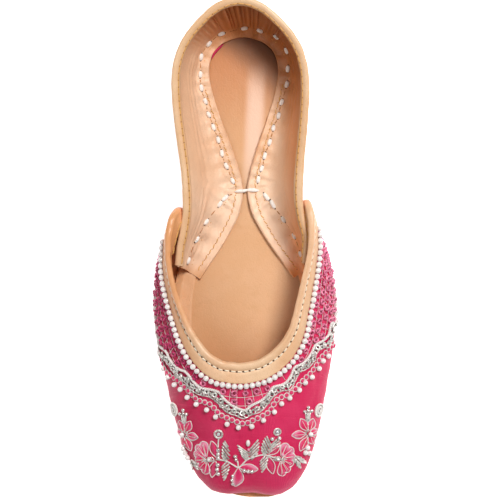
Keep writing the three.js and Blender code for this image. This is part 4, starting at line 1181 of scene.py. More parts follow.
class MOJARI_OT_throat_binding(bpy.types.Operator):
    """Make the leather band folded over the throat edge, with its rolled rim and stitched groove"""
    bl_idname = "mojari.throat_binding"
    bl_label = "Throat binding"

    def execute(self, context):
        at = np.linspace(.052, .948, 401)
        profile = [(1, .30), (.992, .62), (.96, .88), (.85, .95), (.7, .93), (.55, .90), (.44, .80), (.38, .55),
                   (.34, .42), (.30, .55), (.25, .95), (.18, 1.22), (.11, 1.28), (.05, 1.24)]
        rows = []
        for a, deep in zip(at, binding_depth(at)):
            row = [VAMP.off(a, deep * share, lift) for share, lift in profile]
            edge, out, rise = VAMP.face(a, 0.0)
            middle = -EDGE_WALL / 2
            for turn in np.linspace(10, 170, 9):
                angle = math.radians(turn)
                inner = 1.55 * float(smooth(50, 170, turn)) * (1 - self.wing(a))
                row.append(edge + out * (middle + math.cos(angle) * (EDGE_WALL / 2 + 1.24 - inner))
                           + rise * math.sin(angle) * 1.2)
            for depth, lift in self.FACING:
                depth = depth * min(VAMP_BINDING_INSIDE, .6 * VAMP.length_at(a)) / 5
                stand = lift[0] * (.5 + .5 * self.wing(a)) + lift[1] * self.slope(a)
                row.append(VAMP.off(a, depth, -float(wall_at(depth)) - stand))
            rows.append(row)
        grid = puckered(np.array(rows)[::-1], (.22, 4.5, 6), (.08, 1.6, 8))
        piece = grid_piece("throat_binding", grid, finish("binding"), thickness=.4)
        settle(piece, "tan_leather", "vamp_binding")
        self.stitches(at)
        return {"FINISHED"}

    # Depth below the rim, how far the facing stands off the wall, and how much more it does in a wing
    FACING = ((.4, (1.05, .35)), (1.2, (.95, .85)), (2.4, (.9, 1.4)), (3.6, (.9, 1.7)), (4.6, (.8, 1.5)),
              (4.95, (.6, .2)))

    def wing(self, at):
        return 1 - float(smooth(.14, .24, min(at, 1 - at)))

    def slope(self, at):
        return self.wing(at) * (2.0 if at < .5 else .9)

    def stitches(self, at):
        """Cream stitches along the groove, each between two punched holes."""
        groove = []
        for a in np.linspace(at[0] + .012, at[-1] - .012, 900):
            point, out, _ = VAMP.face(a, binding_depth(a) * .34)
            groove.append(np.concatenate([point + out * .5, out]))
        groove = np.array(groove)
        count = int(length_of(groove) / sizes().binding_pitch)
        line = evenly(groove, count * 8 + 1)
        spots, outs = world(line[:, :3]), unit(line[:, 3:])
        seam = Work("throat_stitching", finish("cream"), "tan_leather")
        facing = Work("facing_stitching", finish("ochre"), "tan_leather")
        # Dark discs at the stitch ends stand for the shade in the needle holes: painted shade
        holes = Work("throat_pinholes", finish("hole"), "tan_leather")
        dot = SHARED["dot"] = ball_shape(8, 6, 1)
        for k in range(count):
            part = slice(k * 8 + 1, k * 8 + 7)
            heights = np.array([-.25, .12, .2, .2, .12, -.25])[:, None] * MM
            seam.thread(spots[part] + outs[part] * heights, outs[part], .38, 6)
            spot, out = spots[k * 8], outs[k * 8]
            holes.copy(dot, frame_on(spot - out * .02 * MM, out, spots[k * 8 + 1] - spot), (.62, .5, .2))
        for low, high in ((.06, .2), (.8, .94)):
            row = []
            for a in np.linspace(low, high, 200):
                point, out, rise = VAMP.face(a, 2.4)
                row.append(np.concatenate([world(point - out * (wall_at(2.4) + .9 + 1.4 * self.slope(a) + .02)),
                                           unit(rise * .7 - out)]))
            row = np.array(row)
            count = int(length_of(row) / (FINE_PITCH * MM))
            row = evenly(row, count * 6 + 1)
            facing.fine_seam(row[:, :3], row[:, 3:], count)
        facing.make()
        seam.make()
        holes.make()


class MOJARI_OT_quarter(bpy.types.Operator):
    """Make the quarter: silk outside, puckered tan lining turned in over the sock, rolled collar"""
    bl_idname = "mojari.quarter"
    bl_label = "Quarter"

    def execute(self, context):
        at = np.linspace(.008, .992, 361)[:, None]
        share = np.linspace(0, 1, 51)[None, :]
        depth = share * QUARTER.length_at(at)
        point, out, _ = QUARTER.face(at, depth)
        quilt = ripple(point, .3, 8, 1) * smooth(0, 6, depth) * smooth(0, 6, QUARTER.length_at(at) - depth)
        silk = point + out * (quilt - .15)[..., None]
        piece = grid_piece("quarter_silk", silk, finish("silk"), .8, QUARTER.laid_flat(at, depth))
        settle(piece, "pink_silk", "upper_quarter")
        self.lining()
        self.collar()
        return {"FINISHED"}

    def lining(self):
        stations = np.linspace(0, 1, 521)
        grid = np.array([lining_profile(a) for a in stations])
        normal = unit(np.cross(np.gradient(grid, axis=1), np.gradient(grid, axis=0)))
        fold = fold_line()
        flat = grid[..., :2].reshape(-1, 2)
        nearest = np.array([np.argmin(((fold - p) ** 2).sum(1)) for p in flat])
        away = np.linalg.norm(flat - fold[nearest], axis=1).reshape(grid.shape[:2])
        phase = (nearest / FOLD_STEPS).reshape(grid.shape[:2])
        height = grid[..., 2] - 9.5
        cols = np.arange(grid.shape[1])[None, :]
        on_wall = smooth(26, 40, cols)
        far = np.sqrt(away**2 + np.maximum(height, 0) ** 2)
        # The thread pulls the leather down at each end of a stitch and lets it rise between.
        pull = .5 + .5 * np.cos(2 * math.pi * (phase - .5))
        dent = -(.55 + .75 * pull) * np.exp(-(far / 1.25) ** 2)
        lip = (.35 + .2 * pull) * np.exp(-((far - 2.9) / 1.3) ** 2)
        creases = np.cos(2 * math.pi * (phase - .5)) * np.exp(-far / 6) * .72 * smooth(.8, 3, far)
        around = stations[:, None]
        heel = smooth(.36, .44, around) * (1 - smooth(.55, .62, around))
        uneven = ripple(np.repeat(np.stack([around * 190, around * 0, around * 0], -1), grid.shape[1], 1), 1, 2.6, 3)
        puckers = heel * on_wall * (np.sin(around * 2 * math.pi * 118 + 4 * uneven) * .5 + uneven * .75) \
            * smooth(1, 7, height) * (.55 + .6 * smooth(8, 26, height))
        row = smooth(3, 7, far) * (1 - smooth(11, 22, far)) * on_wall
        long_folds = row * np.sin(far * 1.25 + 2.2 * ripple(grid, 1, 16, 12)) * .5 * (1 - heel)
        soft = ripple(grid, .4, 12, 2) + ripple(grid, .1, 3, 5)
        keep = 1 - smooth(62, 69, cols)
        height_off = (dent + lip + creases + puckers + long_folds + soft) * keep
        height_off = np.where(on_wall > 0, np.maximum(height_off, -.3), height_off)
        grid = grid + normal * height_off[..., None]
        front = 1 - smooth(.24, .36, np.minimum(around, 1 - around))
        lifted = front * np.where(around < .5, 1.3, .7) * np.exp(-cols / 5)
        grid[..., 2] += lifted - smooth(3, 0, cols) * .7 * (1 - front)
        grid[..., 2] = np.maximum(grid[..., 2], sock_top(grid[..., 0], grid[..., 1]) + .55)
        piece = grid_piece("quarter_lining", grid, finish("lining"), thickness=.9)
        settle(piece, "tan_leather", "upper_quarter")
        SHARED["lining"] = Ground(piece)
        self.fold_stitches()

    def fold_stitches(self):
        """Thick white cotton in the fold, one stitch at each place, and the pricks beside it."""
        ground = SHARED["lining"]
        work = Work("fold_stitches", finish("cotton"), "tan_leather")
        pricks = Work("margin_pricks", finish("ochre"), "tan_leather")
        # Dark discs at each end of a fold stitch: painted shade in the needle holes
        holes = Work("fold_holes", finish("hole"), "tan_leather")
        dot = SHARED["dot"]
        slits = Work("fold_slits", finish("slit"), "tan_leather")
        usual, rng = sizes().fold_stitch, random.Random(7)
        longer = {(10.6, 26.1): 1.35, (13.8, 22.2): 1.45, (-10.4, 25.8): 1.2, (-13, 22.8): 1.05}
        line = FOLD_RIGHT[::-1] + FOLD_LEFT
        last = None
        for k, (x, y) in enumerate(line):
            before, after = line[max(k - 1, 0)], line[min(k + 1, len(line) - 1)]
            way = unit(np.array([after[0] - before[0], after[1] - before[1]]))
            angle = rng.uniform(-.16, .16)
            way = np.array([way[0] * math.cos(angle) - way[1] * math.sin(angle),
                            way[0] * math.sin(angle) + way[1] * math.cos(angle)])
            half = usual * longer.get((x, y), rng.uniform(.86, 1.08)) / 2
            spot = np.array([x + SHIFT[0], y + SHIFT[1]])
            # A sunk brown thread between stitches: the dent is shaped, and its shade is painted brown
            if last is not None and np.linalg.norm(spot - last) > 4.5:
                path = [last + (spot - way * half - last) * t for t in np.linspace(.12, .88, 9)]
                spots, normals = zip(*(ground.under(*p) for p in path))
                sink = np.array([-.45, -.26, -.2, -.18, -.17, -.18, -.2, -.26, -.45])[:, None] * MM
                slits.thread(np.array(spots) + np.array(normals) * sink, normals, .42, 8, flat=.6, taper=True)
            last = spot + way * half
            if (x, y) in ((-5.5, 29.4), (6.8, 29.7)):
                continue
            points = []
            for t, lift in zip(np.linspace(-1, 1, 11), (-.5, .1, .45, .62, .7, .72, .7, .62, .45, .1, -.5)):
                p, n = ground.under(*(spot + way * t * half))
                points.append(p + np.array([0, 0, lift * MM]))
            work.thread(points, [(0, 0, 1)] * 11, .7 + .34 * np.sin(np.linspace(.12, .88, 11) * math.pi) ** .6, 12,
                        flat=.75, taper=True)
            for side in (-1, 1):
                p, n = ground.under(*(spot + way * side * (half + .1)))
                holes.copy(dot, frame_on(p + n * .05 * MM, n, (*way, 0)), (.5, .45, .2))
            inward = np.array([-way[1], way[0]])
            for side in (-1, 1):
                p, n = ground.under(*(spot + way * side * 1.2 + inward * 1.9))
                pricks.thread([p + n * .05 * MM, p + n * .16 * MM + np.append(way, 0) * .4 * MM], [n, n], .2, 5)
        slits.make()
        work.make()
        holes.make()
        pricks.make()
        self.margin_seam(ground)
        slip = Work("silk_slips", finish("slip"), "pink_silk")
        for (x, y), reach, wide in (((-13.2, 102.5), 5.2, .85), ((-2.2, 37.6), 1.6, .3)):
            edges = np.array([(quarter_plan(at)[2] + SHIFT)[:2] for at in np.linspace(.5, .9, 500)])
            near = edges[np.linalg.norm(edges - (x, y), axis=1) < reach]
            middle = np.array([0, 70.0])
            spots = [world((*(p + unit(middle - p) * wide * .5 - SHIFT[:2]), 0)) for p in near[::3]]
            spots = [np.array([q[0], q[1], (float(sock_top(*(q[:2] / MM - SHIFT[:2]))) + .55) * MM]) for q in spots]
            swell = wide * np.sin(np.linspace(.06, .94, len(spots)) * math.pi)
            slip.thread(spots, [(0, 0, 1)] * len(spots), swell, 6, flat=.5)
        slip.make()
        tie = Work("waist_tie", finish("cotton"), "tan_leather")
        bar = [(-5.6, 28.9), (-3.2, 29.3), (-1.0, 29.3), (1.1, 29.7), (3.0, 29.7), (5.0, 29.5), (7.0, 29.3)]
        points = [np.append((np.array(p) + SHIFT[:2]) * MM, (TIE_HEIGHT + dz) * MM)
                  for p, dz in zip(bar, (-.5, .1, .3, .3, .35, .3, -.1))]
        points = rounded(points, per=8)
        share = np.linspace(0, 1, len(points))
        left, right = (np.sin(np.pi * np.clip(run, 0, 1)) for run in (share * 2.1, share * 2 - .98))
        swell = .62 + .34 * left + .42 * right ** .5
        tie.thread(points, [(0, 0, 1)] * len(points), swell, 12, flat=.8, taper=True)
        tie.make()

    def margin_seam(self, ground):
        """Fine ochre stitches along the turned-in margin, a little in from its free edge."""
        places = []
        for at in np.linspace(.012, .988, 500):
            foot, _, edge, _, _, _ = quarter_plan(at)
            places.append((edge + unit((foot - edge) * (1, 1, 0)) * MARGIN_SEAM_INSET + SHIFT)[:2])
        spots, normals = zip(*(ground.under(*p) for p in evenly(places, 1500)))
        line = np.concatenate([np.array(spots), np.array(normals)], axis=1)
        count = int(length_of(line) / (FINE_PITCH * MM))
        line = evenly(line, count * 6 + 1)
        seam = Work("margin_stitching", finish("ochre"), "tan_leather")
        # Brown dimples between the stitches: painted shade
        pricked = Work("margin_pinholes", finish("slit"), "tan_leather")
        for k in range(count):
            part = line[k * 6 + 1:k * 6 + 6]
            if part[0, 1] > MARGIN_SEAM_END * MM:
                continue
            along = unit(part[-1, :3] - part[0, :3])
            side = np.cross(part[:, 3:], along) * np.linspace(-.35, .35, 5)[:, None] * MM
            lift = np.array([-.2, .1, .16, .1, -.2])[:, None] * MM
            seam.thread(part[:, :3] + side + part[:, 3:] * lift, part[:, 3:], .24, 6)
            pricked.copy(SHARED["dot"], frame_on(line[k * 6, :3], line[k * 6, 3:], along), (.34, .3, .2))
        seam.make()
        pricked.make()

    def lean(self, at):
        """How far the collar leans into the shoe: less at its right front end."""
        return .62 + .38 * float(smooth(.03, .16, at))

    def collar(self):
        """The edge of the leather rolled over the top and stitched just below."""
        at = np.linspace(.004, .996, 541)
        profile = [(5.4, .45), (5.1, .75), (4, .85), (2.6, .9), (1.4, 1.0), (.6, 1.12)]
        rows = []
        for a in at:
            row = [QUARTER.off(a, depth, lift) for depth, lift in profile]
            edge, out, rise = QUARTER.face(a, 0.0)
            for aside, up in ((1.12, .25), (1.0, .72), (.62, 1.06), (.1, 1.2), (-.45, 1.18), (-1.0, .96),
                              (-1.55, .6), (-2.05, .12), (-2.3, -.26), (-2.6, -.48), (-2.95, -1.15), (-3.0, -1.9)):
                row.append(edge + out * aside * (self.lean(a) if aside < 0 else 1) + rise * up)
            for depth, lift in ((2.8, 1.0 * self.lean(a)), (3.4, .4), (3.9, -.1)):
                row.append(QUARTER.off(a, depth, -float(wall_at(depth)) - lift))
            rows.append(row)
        grid = puckered(np.array(rows)[::-1], (.2, 5, 3), (.07, 1.8, 4))
        piece = grid_piece("rolled_collar", grid, finish("collar"), thickness=.4)
        settle(piece, "tan_leather", "quarter_binding")
        seam = Work("collar_stitching", finish("ochre"), "tan_leather")
        fine = np.linspace(at[0] + .004, at[-1] - .004, 1500)
        point, out, rise = QUARTER.face(fine, np.zeros(len(fine)))
        leans = np.array([self.lean(a) for a in fine])[:, None]
        line = np.concatenate([point - out * 2.32 * leans - rise * .2, unit(rise * .75 - out)], axis=1)
        count = int(length_of(line) / sizes().collar_pitch)
        line = evenly(line, count * 6 + 1)
        spots, outs = world(line[:, :3]), unit(line[:, 3:])
        # Brown dimples between the collar stitches: painted shade
        dots = Work("collar_pinholes", finish("slit"), "tan_leather")
        seam.fine_seam(spots, outs, count)
        for k in range(0, count * 6, 6):
            dots.copy(SHARED["dot"], frame_on(spots[k], outs[k], spots[k + 1] - spots[k]), (.5, .45, .25))
        seam.make()
        dots.make()


def ring_of(segments, sides, radius, wire):
    bpy.ops.mesh.primitive_torus_add(major_segments=segments, minor_segments=sides, major_radius=radius,
                                     minor_radius=wire)


def crimped_shape(segments, sides, radius, wire, proud, low):
    """A ring of wire with every other turn standing out."""
    def make():
        ring_of(segments, sides, radius, wire)
        for index, corner in enumerate(bpy.context.object.data.vertices):
            angle = math.atan2(corner.co.y, corner.co.x)
            ring = Vector((math.cos(angle), math.sin(angle), 0)) * radius
            corner.co = ring + (corner.co - ring) * (proud if (index // sides) % 2 else low)
    return modelled(make)


def rose_shape():
    """A smooth ring with a few loose turns, uneven in height."""
    def make():
        ring_of(20, 8, .35, .15)
        for corner in bpy.context.object.data.vertices:
            angle = math.atan2(corner.co.y, corner.co.x)
            corner.co.z += .07 * math.sin(angle * 3)
            corner.co.xy *= 1 + .08 * math.sin(angle * 7)
    return modelled(make)


def between(base, tip):
    """A place, how far it is from there to another, the way there and the way to its left."""
    base = np.array(base, float)
    way = np.array(tip, float) - base
    length = np.linalg.norm(way)
    way = way / length
    return base, length, way, np.array([-way[1], way[0]])


class Embroidery:
    """The needlework on the vamp, gathered by finish."""

    def __init__(self):
        self.ground = SHARED["silk"]
        self.bead, self.rose = ball_shape(14, 9, .5), rose_shape()
        self.coil = crimped_shape(22, 6, .33, .17, 1.18, .82)
        self.wreath = crimped_shape(34, 7, .39, .11, 1.22, .84)
        self.ring = modelled(lambda: ring_of(16, 6, .41, .075))
        self.stone = modelled(lambda: bpy.ops.mesh.primitive_ico_sphere_add(subdivisions=2, radius=.5))
        self.rng = random.Random(11)
        self.works = {}

    def work(self, name, finish_name, slot="silver_thread"):
        if name not in self.works:
            self.works[name] = Work(name, finish(finish_name), slot)
        return self.works[name]

    def put_bead(self, work, x, y, size, lift=None, stretch=1.0, toward=(1, 0)):
        place = self.ground.place(x, y, toward, size * .42 if lift is None else lift)
        work.copy(self.bead, place, (size * stretch, size, size))

    def leaf(self, work, base, tip, width, lean=1.6, radius=.5, step=1.3):
        """A leaf of slanted lengths of coiled wire, side by side along both sides of a vein."""
        base, length, way, side = between(base, tip)
        for k in range(int(length * .74 / step)):
            share = k * step / length
            reach = width / 2 * (.72 + .28 * math.sin(math.pi * min(share * 1.4 + .15, 1)))
            ahead = min(reach * lean, length * (1 - share) - .2)
            for sign in (-1, 1):
                a = base + way * length * share + side * sign * .15
                self.strip(work, a, a + side * sign * reach * min(1, ahead / reach) + way * ahead, radius)

    def strip(self, work, a, b, radius=.48, lift=.8, taper=True):
        """One length of coiled wire from one place to another, its ends tucked into the silk."""
        points, normals = self.ground.line([a, b], radius * lift, 7)
        points[0] -= normals[0] * .35 * MM
        points[-1] -= normals[-1] * .4 * MM
        work.thread(points, normals, radius, 7, taper=taper)

    def petal(self, fill, edge, base, tip, width, bend=0.0, widest=.5, rise=.7, gap=.12, inner=1.0, point=.7):
        """A petal of floss between a base and a tip, outlined in cord."""
        base, length, way, side = between(base, tip)
        power = math.log(.5) / math.log(widest)
        half = lambda t: width / 2 * (math.sin(math.pi * t ** power) ** point if 0 < t < 1 else 0)
        spine = lambda t: base + way * length * t + side * bend * math.sin(math.pi * t)
        rows, normals = [], []
        steps, lanes = 13, 7
        for t in np.linspace(.02, .985, steps):
            for s in np.linspace(-1, 1, lanes):
                p, n = self.ground.under(*(spine(t) + side * half(t) * s * inner))
                swell = (1 - s * s) ** .7 * math.sin(math.pi * min(max(t, .06), .94)) ** .5
                rows.append(p + n * MM * (.12 + rise * swell))
        faces = quads(steps, lanes)
        uv = lambda r, c: (c / (lanes - 1), r / (steps - 1))
        uvs = [uv(r + dr, c + dc) for r in range(steps - 1) for c in range(lanes - 1)
               for dr, dc in ((0, 0), (0, 1), (1, 1), (1, 0))]
        corner = np.array(rows)
        a, b, c = corner[faces[0][0]], corner[faces[0][1]], corner[faces[0][2]]
        _, n = self.ground.under(*spine(.5))
        if np.dot(np.cross(b - a, c - b), n) < 0:
            faces = [f[::-1] for f in faces]
            uvs = [uvs[k + j] for k in range(0, len(uvs), 4) for j in (3, 2, 1, 0)]
        fill.add(corner, faces, uvs)
        ts = np.linspace(0, 1, 15)
        loop = ([spine(t) + side * (half(t) + gap) for t in ts]
                + [spine(t) - side * (half(t) + gap) for t in ts[-2::-1]])
        points, normals = self.ground.line(evenly(loop, 40), .3, 40, per=1)
        edge.twisted(points, normals, .27, 1.0, 2, 6, 4)

    def spray(self, work, points, radius=.36, lift=None):
        spots, normals = self.ground.line(points, radius * .9 if lift is None else lift)
        work.twisted(spots, normals, radius, 1.3, 2, 6, 5)

    def make(self):
        for name, work in self.works.items():
            work.make(*(["silver_band"] if name == "silver_bullion_band" else []))


class MOJARI_OT_pearl_trim(bpy.types.Operator):
    """Lay the pearl row, the rose coils and the silver band round the throat"""
    bl_idname = "mojari.pearl_trim"
    bl_label = "Pearl trim"

    def execute(self, context):
        hand = SHARED.setdefault("hand", Embroidery())
        pearl = sizes().pearl
        at = np.linspace(.163, .847, 900)
        point, out, _ = VAMP.face(at, binding_depth(at) + pearl * .42)
        line = np.concatenate([world(point + out * pearl * .42), out], axis=1)
        self.row(hand, hand.work("throat_pearls", "pearl"), hand.bead, line, pearl * .98, pearl)
        cord, band, chain = Trim(CORD_LINE, 30), Trim(BAND_LINE, 34), Trim(CHAIN_LINE, 38)
        self.rosettes(hand, cord)
        self.band(hand, cord, band)
        self.chain(hand, chain)
        return {"FINISHED"}

    def row(self, hand, work, shape, line, pitch, size):
        """Copies of a shape side by side along a line of places and normals."""
        for spot in evenly(line, int(length_of(line) / (pitch * MM)) + 1):
            grow = size * hand.rng.uniform(.95, 1.04)
            work.copy(shape, frame_on(spot[:3], spot[3:], (1, 0, 0)), (grow, grow, grow * .95))

    def rosettes(self, hand, cord):
        """Rose coils between the pearls and the cord, with fine silver thread between their rows."""
        size = sizes().rosette
        coils = hand.work("rose_coils", "rose")
        # The coils on the left side get the darker copy of the rose finish: painted shade
        darker = hand.work("rose_coils_painted_shade", "crimson")
        # Dark beads in the centres of the coils stand for the shade in their holes: painted shade
        hole_shades = hand.work("rose_hole_painted_shade", "rose_hole_shade_bead")
        net = hand.work("silver_net", "cord")
        first = sizes().pearl * .95
        step = size * 1.32
        for row in range(8):
            at = np.linspace(.165, .835, 1200)
            depth = binding_depth(at) + first + size * .62 + step * row
            inside = depth < cord.depth_at(at) - size * .62
            for line in self.runs(at, depth, inside, .5):
                run = length_of(line) / MM
                for spot in evenly(line, int(run / (size * 1.36)) + 1):
                    spun = hand.rng.uniform(0, math.tau)
                    lean = spot[3:] + np.array([hand.rng.uniform(-.22, .22) for _ in range(3)])
                    place = frame_on(spot[:3] + spot[3:] * hand.rng.uniform(-.1, .25) * MM, lean,
                                     (math.cos(spun), math.sin(spun), .2))
                    grow = size * hand.rng.uniform(.92, 1.1)
                    # Coils left of x = -21 mm take the darker copy: painted shade on the side away from the lamp
                    (darker if spot[0] < -21 * MM else coils).copy(hand.rose, place, (grow, grow, grow * 1.25))
                    # A small dark bead in each coil's hole: painted shade
                    hole_shades.copy(hand.bead, place, (grow * .34, grow * .34, grow * .3))
            for line in self.runs(at, depth + step * .5, inside, .22):
                net.thread(line[::5, :3], line[::5, 3:], .14, 4)
        for at in np.linspace(.17, .83, 40):
            start, end = float(binding_depth(at)) + first, float(cord.depth_at(at)) - .6
            if end - start > size * .8:
                depth = np.linspace(start, end, 12)
                point, out, _ = VAMP.face(np.full(12, at), depth)
                net.thread(world(point + out * .22), out, .14, 4)

    def runs(self, at, depth, inside, lift):
        """The stretches of a row that lie inside the field."""
        cuts = np.flatnonzero(np.diff(inside.astype(int))) + 1
        for part in np.split(np.arange(len(at)), cuts):
            if inside[part[0]] and len(part) > 12:
                point, out, _ = VAMP.face(at[part], depth[part])
                yield np.concatenate([world(point + out * lift), out], axis=1)

    def band(self, hand, cord, band):
        """A crinkled band of coils of bullion, with a twisted cord along its throat side."""
        crinkle = hand.work("silver_bullion_band", "silver")
        wide = sizes().band / 2
        points, normals = band.laid(.3)
        # A dark twisted ground under the coils: painted shade in the gaps between them
        hand.work("band_painted_shade_ground", "shadow").twisted(points, normals, wide * .78, 2.3, 1, 9, 5, flat=.25, spread=.8)
        points, normals = band.laid(.8)
        along = unit(np.gradient(points, axis=0))
        side = np.cross(normals, along)
        run = length_of(points) / MM
        for k, at in enumerate(np.linspace(4, len(points) - 5, int(run / 2.1)).astype(int)):
            sway = (-1 if k % 2 else 1) * wide * .3 + hand.rng.uniform(-.2, .2)
            spot = points[at] + side[at] * sway * MM + normals[at] * hand.rng.uniform(-.1, .3) * MM
            lean = normals[at] + side[at] * hand.rng.uniform(-.6, .6) + along[at] * hand.rng.uniform(-.6, .6)
            grow = hand.rng.uniform(2.6, 3.1)
            crinkle.copy((hand.coil, hand.wreath)[k % 2], frame_on(spot, lean, along[at]), (grow, grow, grow * 1.15))
        for k, at in enumerate(np.linspace(6, len(points) - 7, int(run / 3.9)).astype(int)):
            spot = points[at] + side[at] * hand.rng.uniform(-.5, .5) * MM + normals[at] * .5 * MM
            crinkle.copy(hand.bead, frame_on(spot, normals[at], along[at]), (1.15, 1.15, 1.1))
        thread = hand.work("silver_cord", "cord")
        points, normals = cord.laid(.6, .35)
        thread.twisted(points, normals, .74, 2.0, 2, 8, 6, spread=.5)
        points, normals = band.laid(.3, wide + .15)
        thread.twisted(points, normals, .36, 1.3, 2, 6, 4)

    def chain(self, hand, chain):
        """A chain of silver rings round pink knots, with a pearl hung under most of them."""
        rings = hand.work("ring_chain", "cord")
        knots = hand.work("ring_knots", "pink")
        points, normals = chain.laid(.35)
        line = np.concatenate([points, normals], axis=1)
        for spot in evenly(line, int(length_of(points) / (RING_PITCH * MM)) + 1):
            rings.copy(hand.ring, frame_on(spot[:3], spot[3:], (1, 0, 0)), (RING_SIZE,) * 3)
            knots.copy(hand.bead, frame_on(spot[:3] + spot[3:] * .1 * MM, spot[3:], (1, 0, 0)), (2.15, 2.15, 1.7))
        drops = hand.work("hanging_pearls", "pearl")
        for x, y in DROPS:
            hand.put_bead(drops, x, y + .1, DROP_SIZE)
        for side, from_at, to_at in ((-1, .165, .285), (1, .73, .835)):
            at = np.linspace(from_at, to_at, 120)
            point, out, _ = VAMP.face(at, chain.depth_at(at) + 2.3)
            line = np.concatenate([world(point + out * 1.0), out], axis=1)
            self.row(hand, drops, hand.bead, line, 5.4, DROP_SIZE)


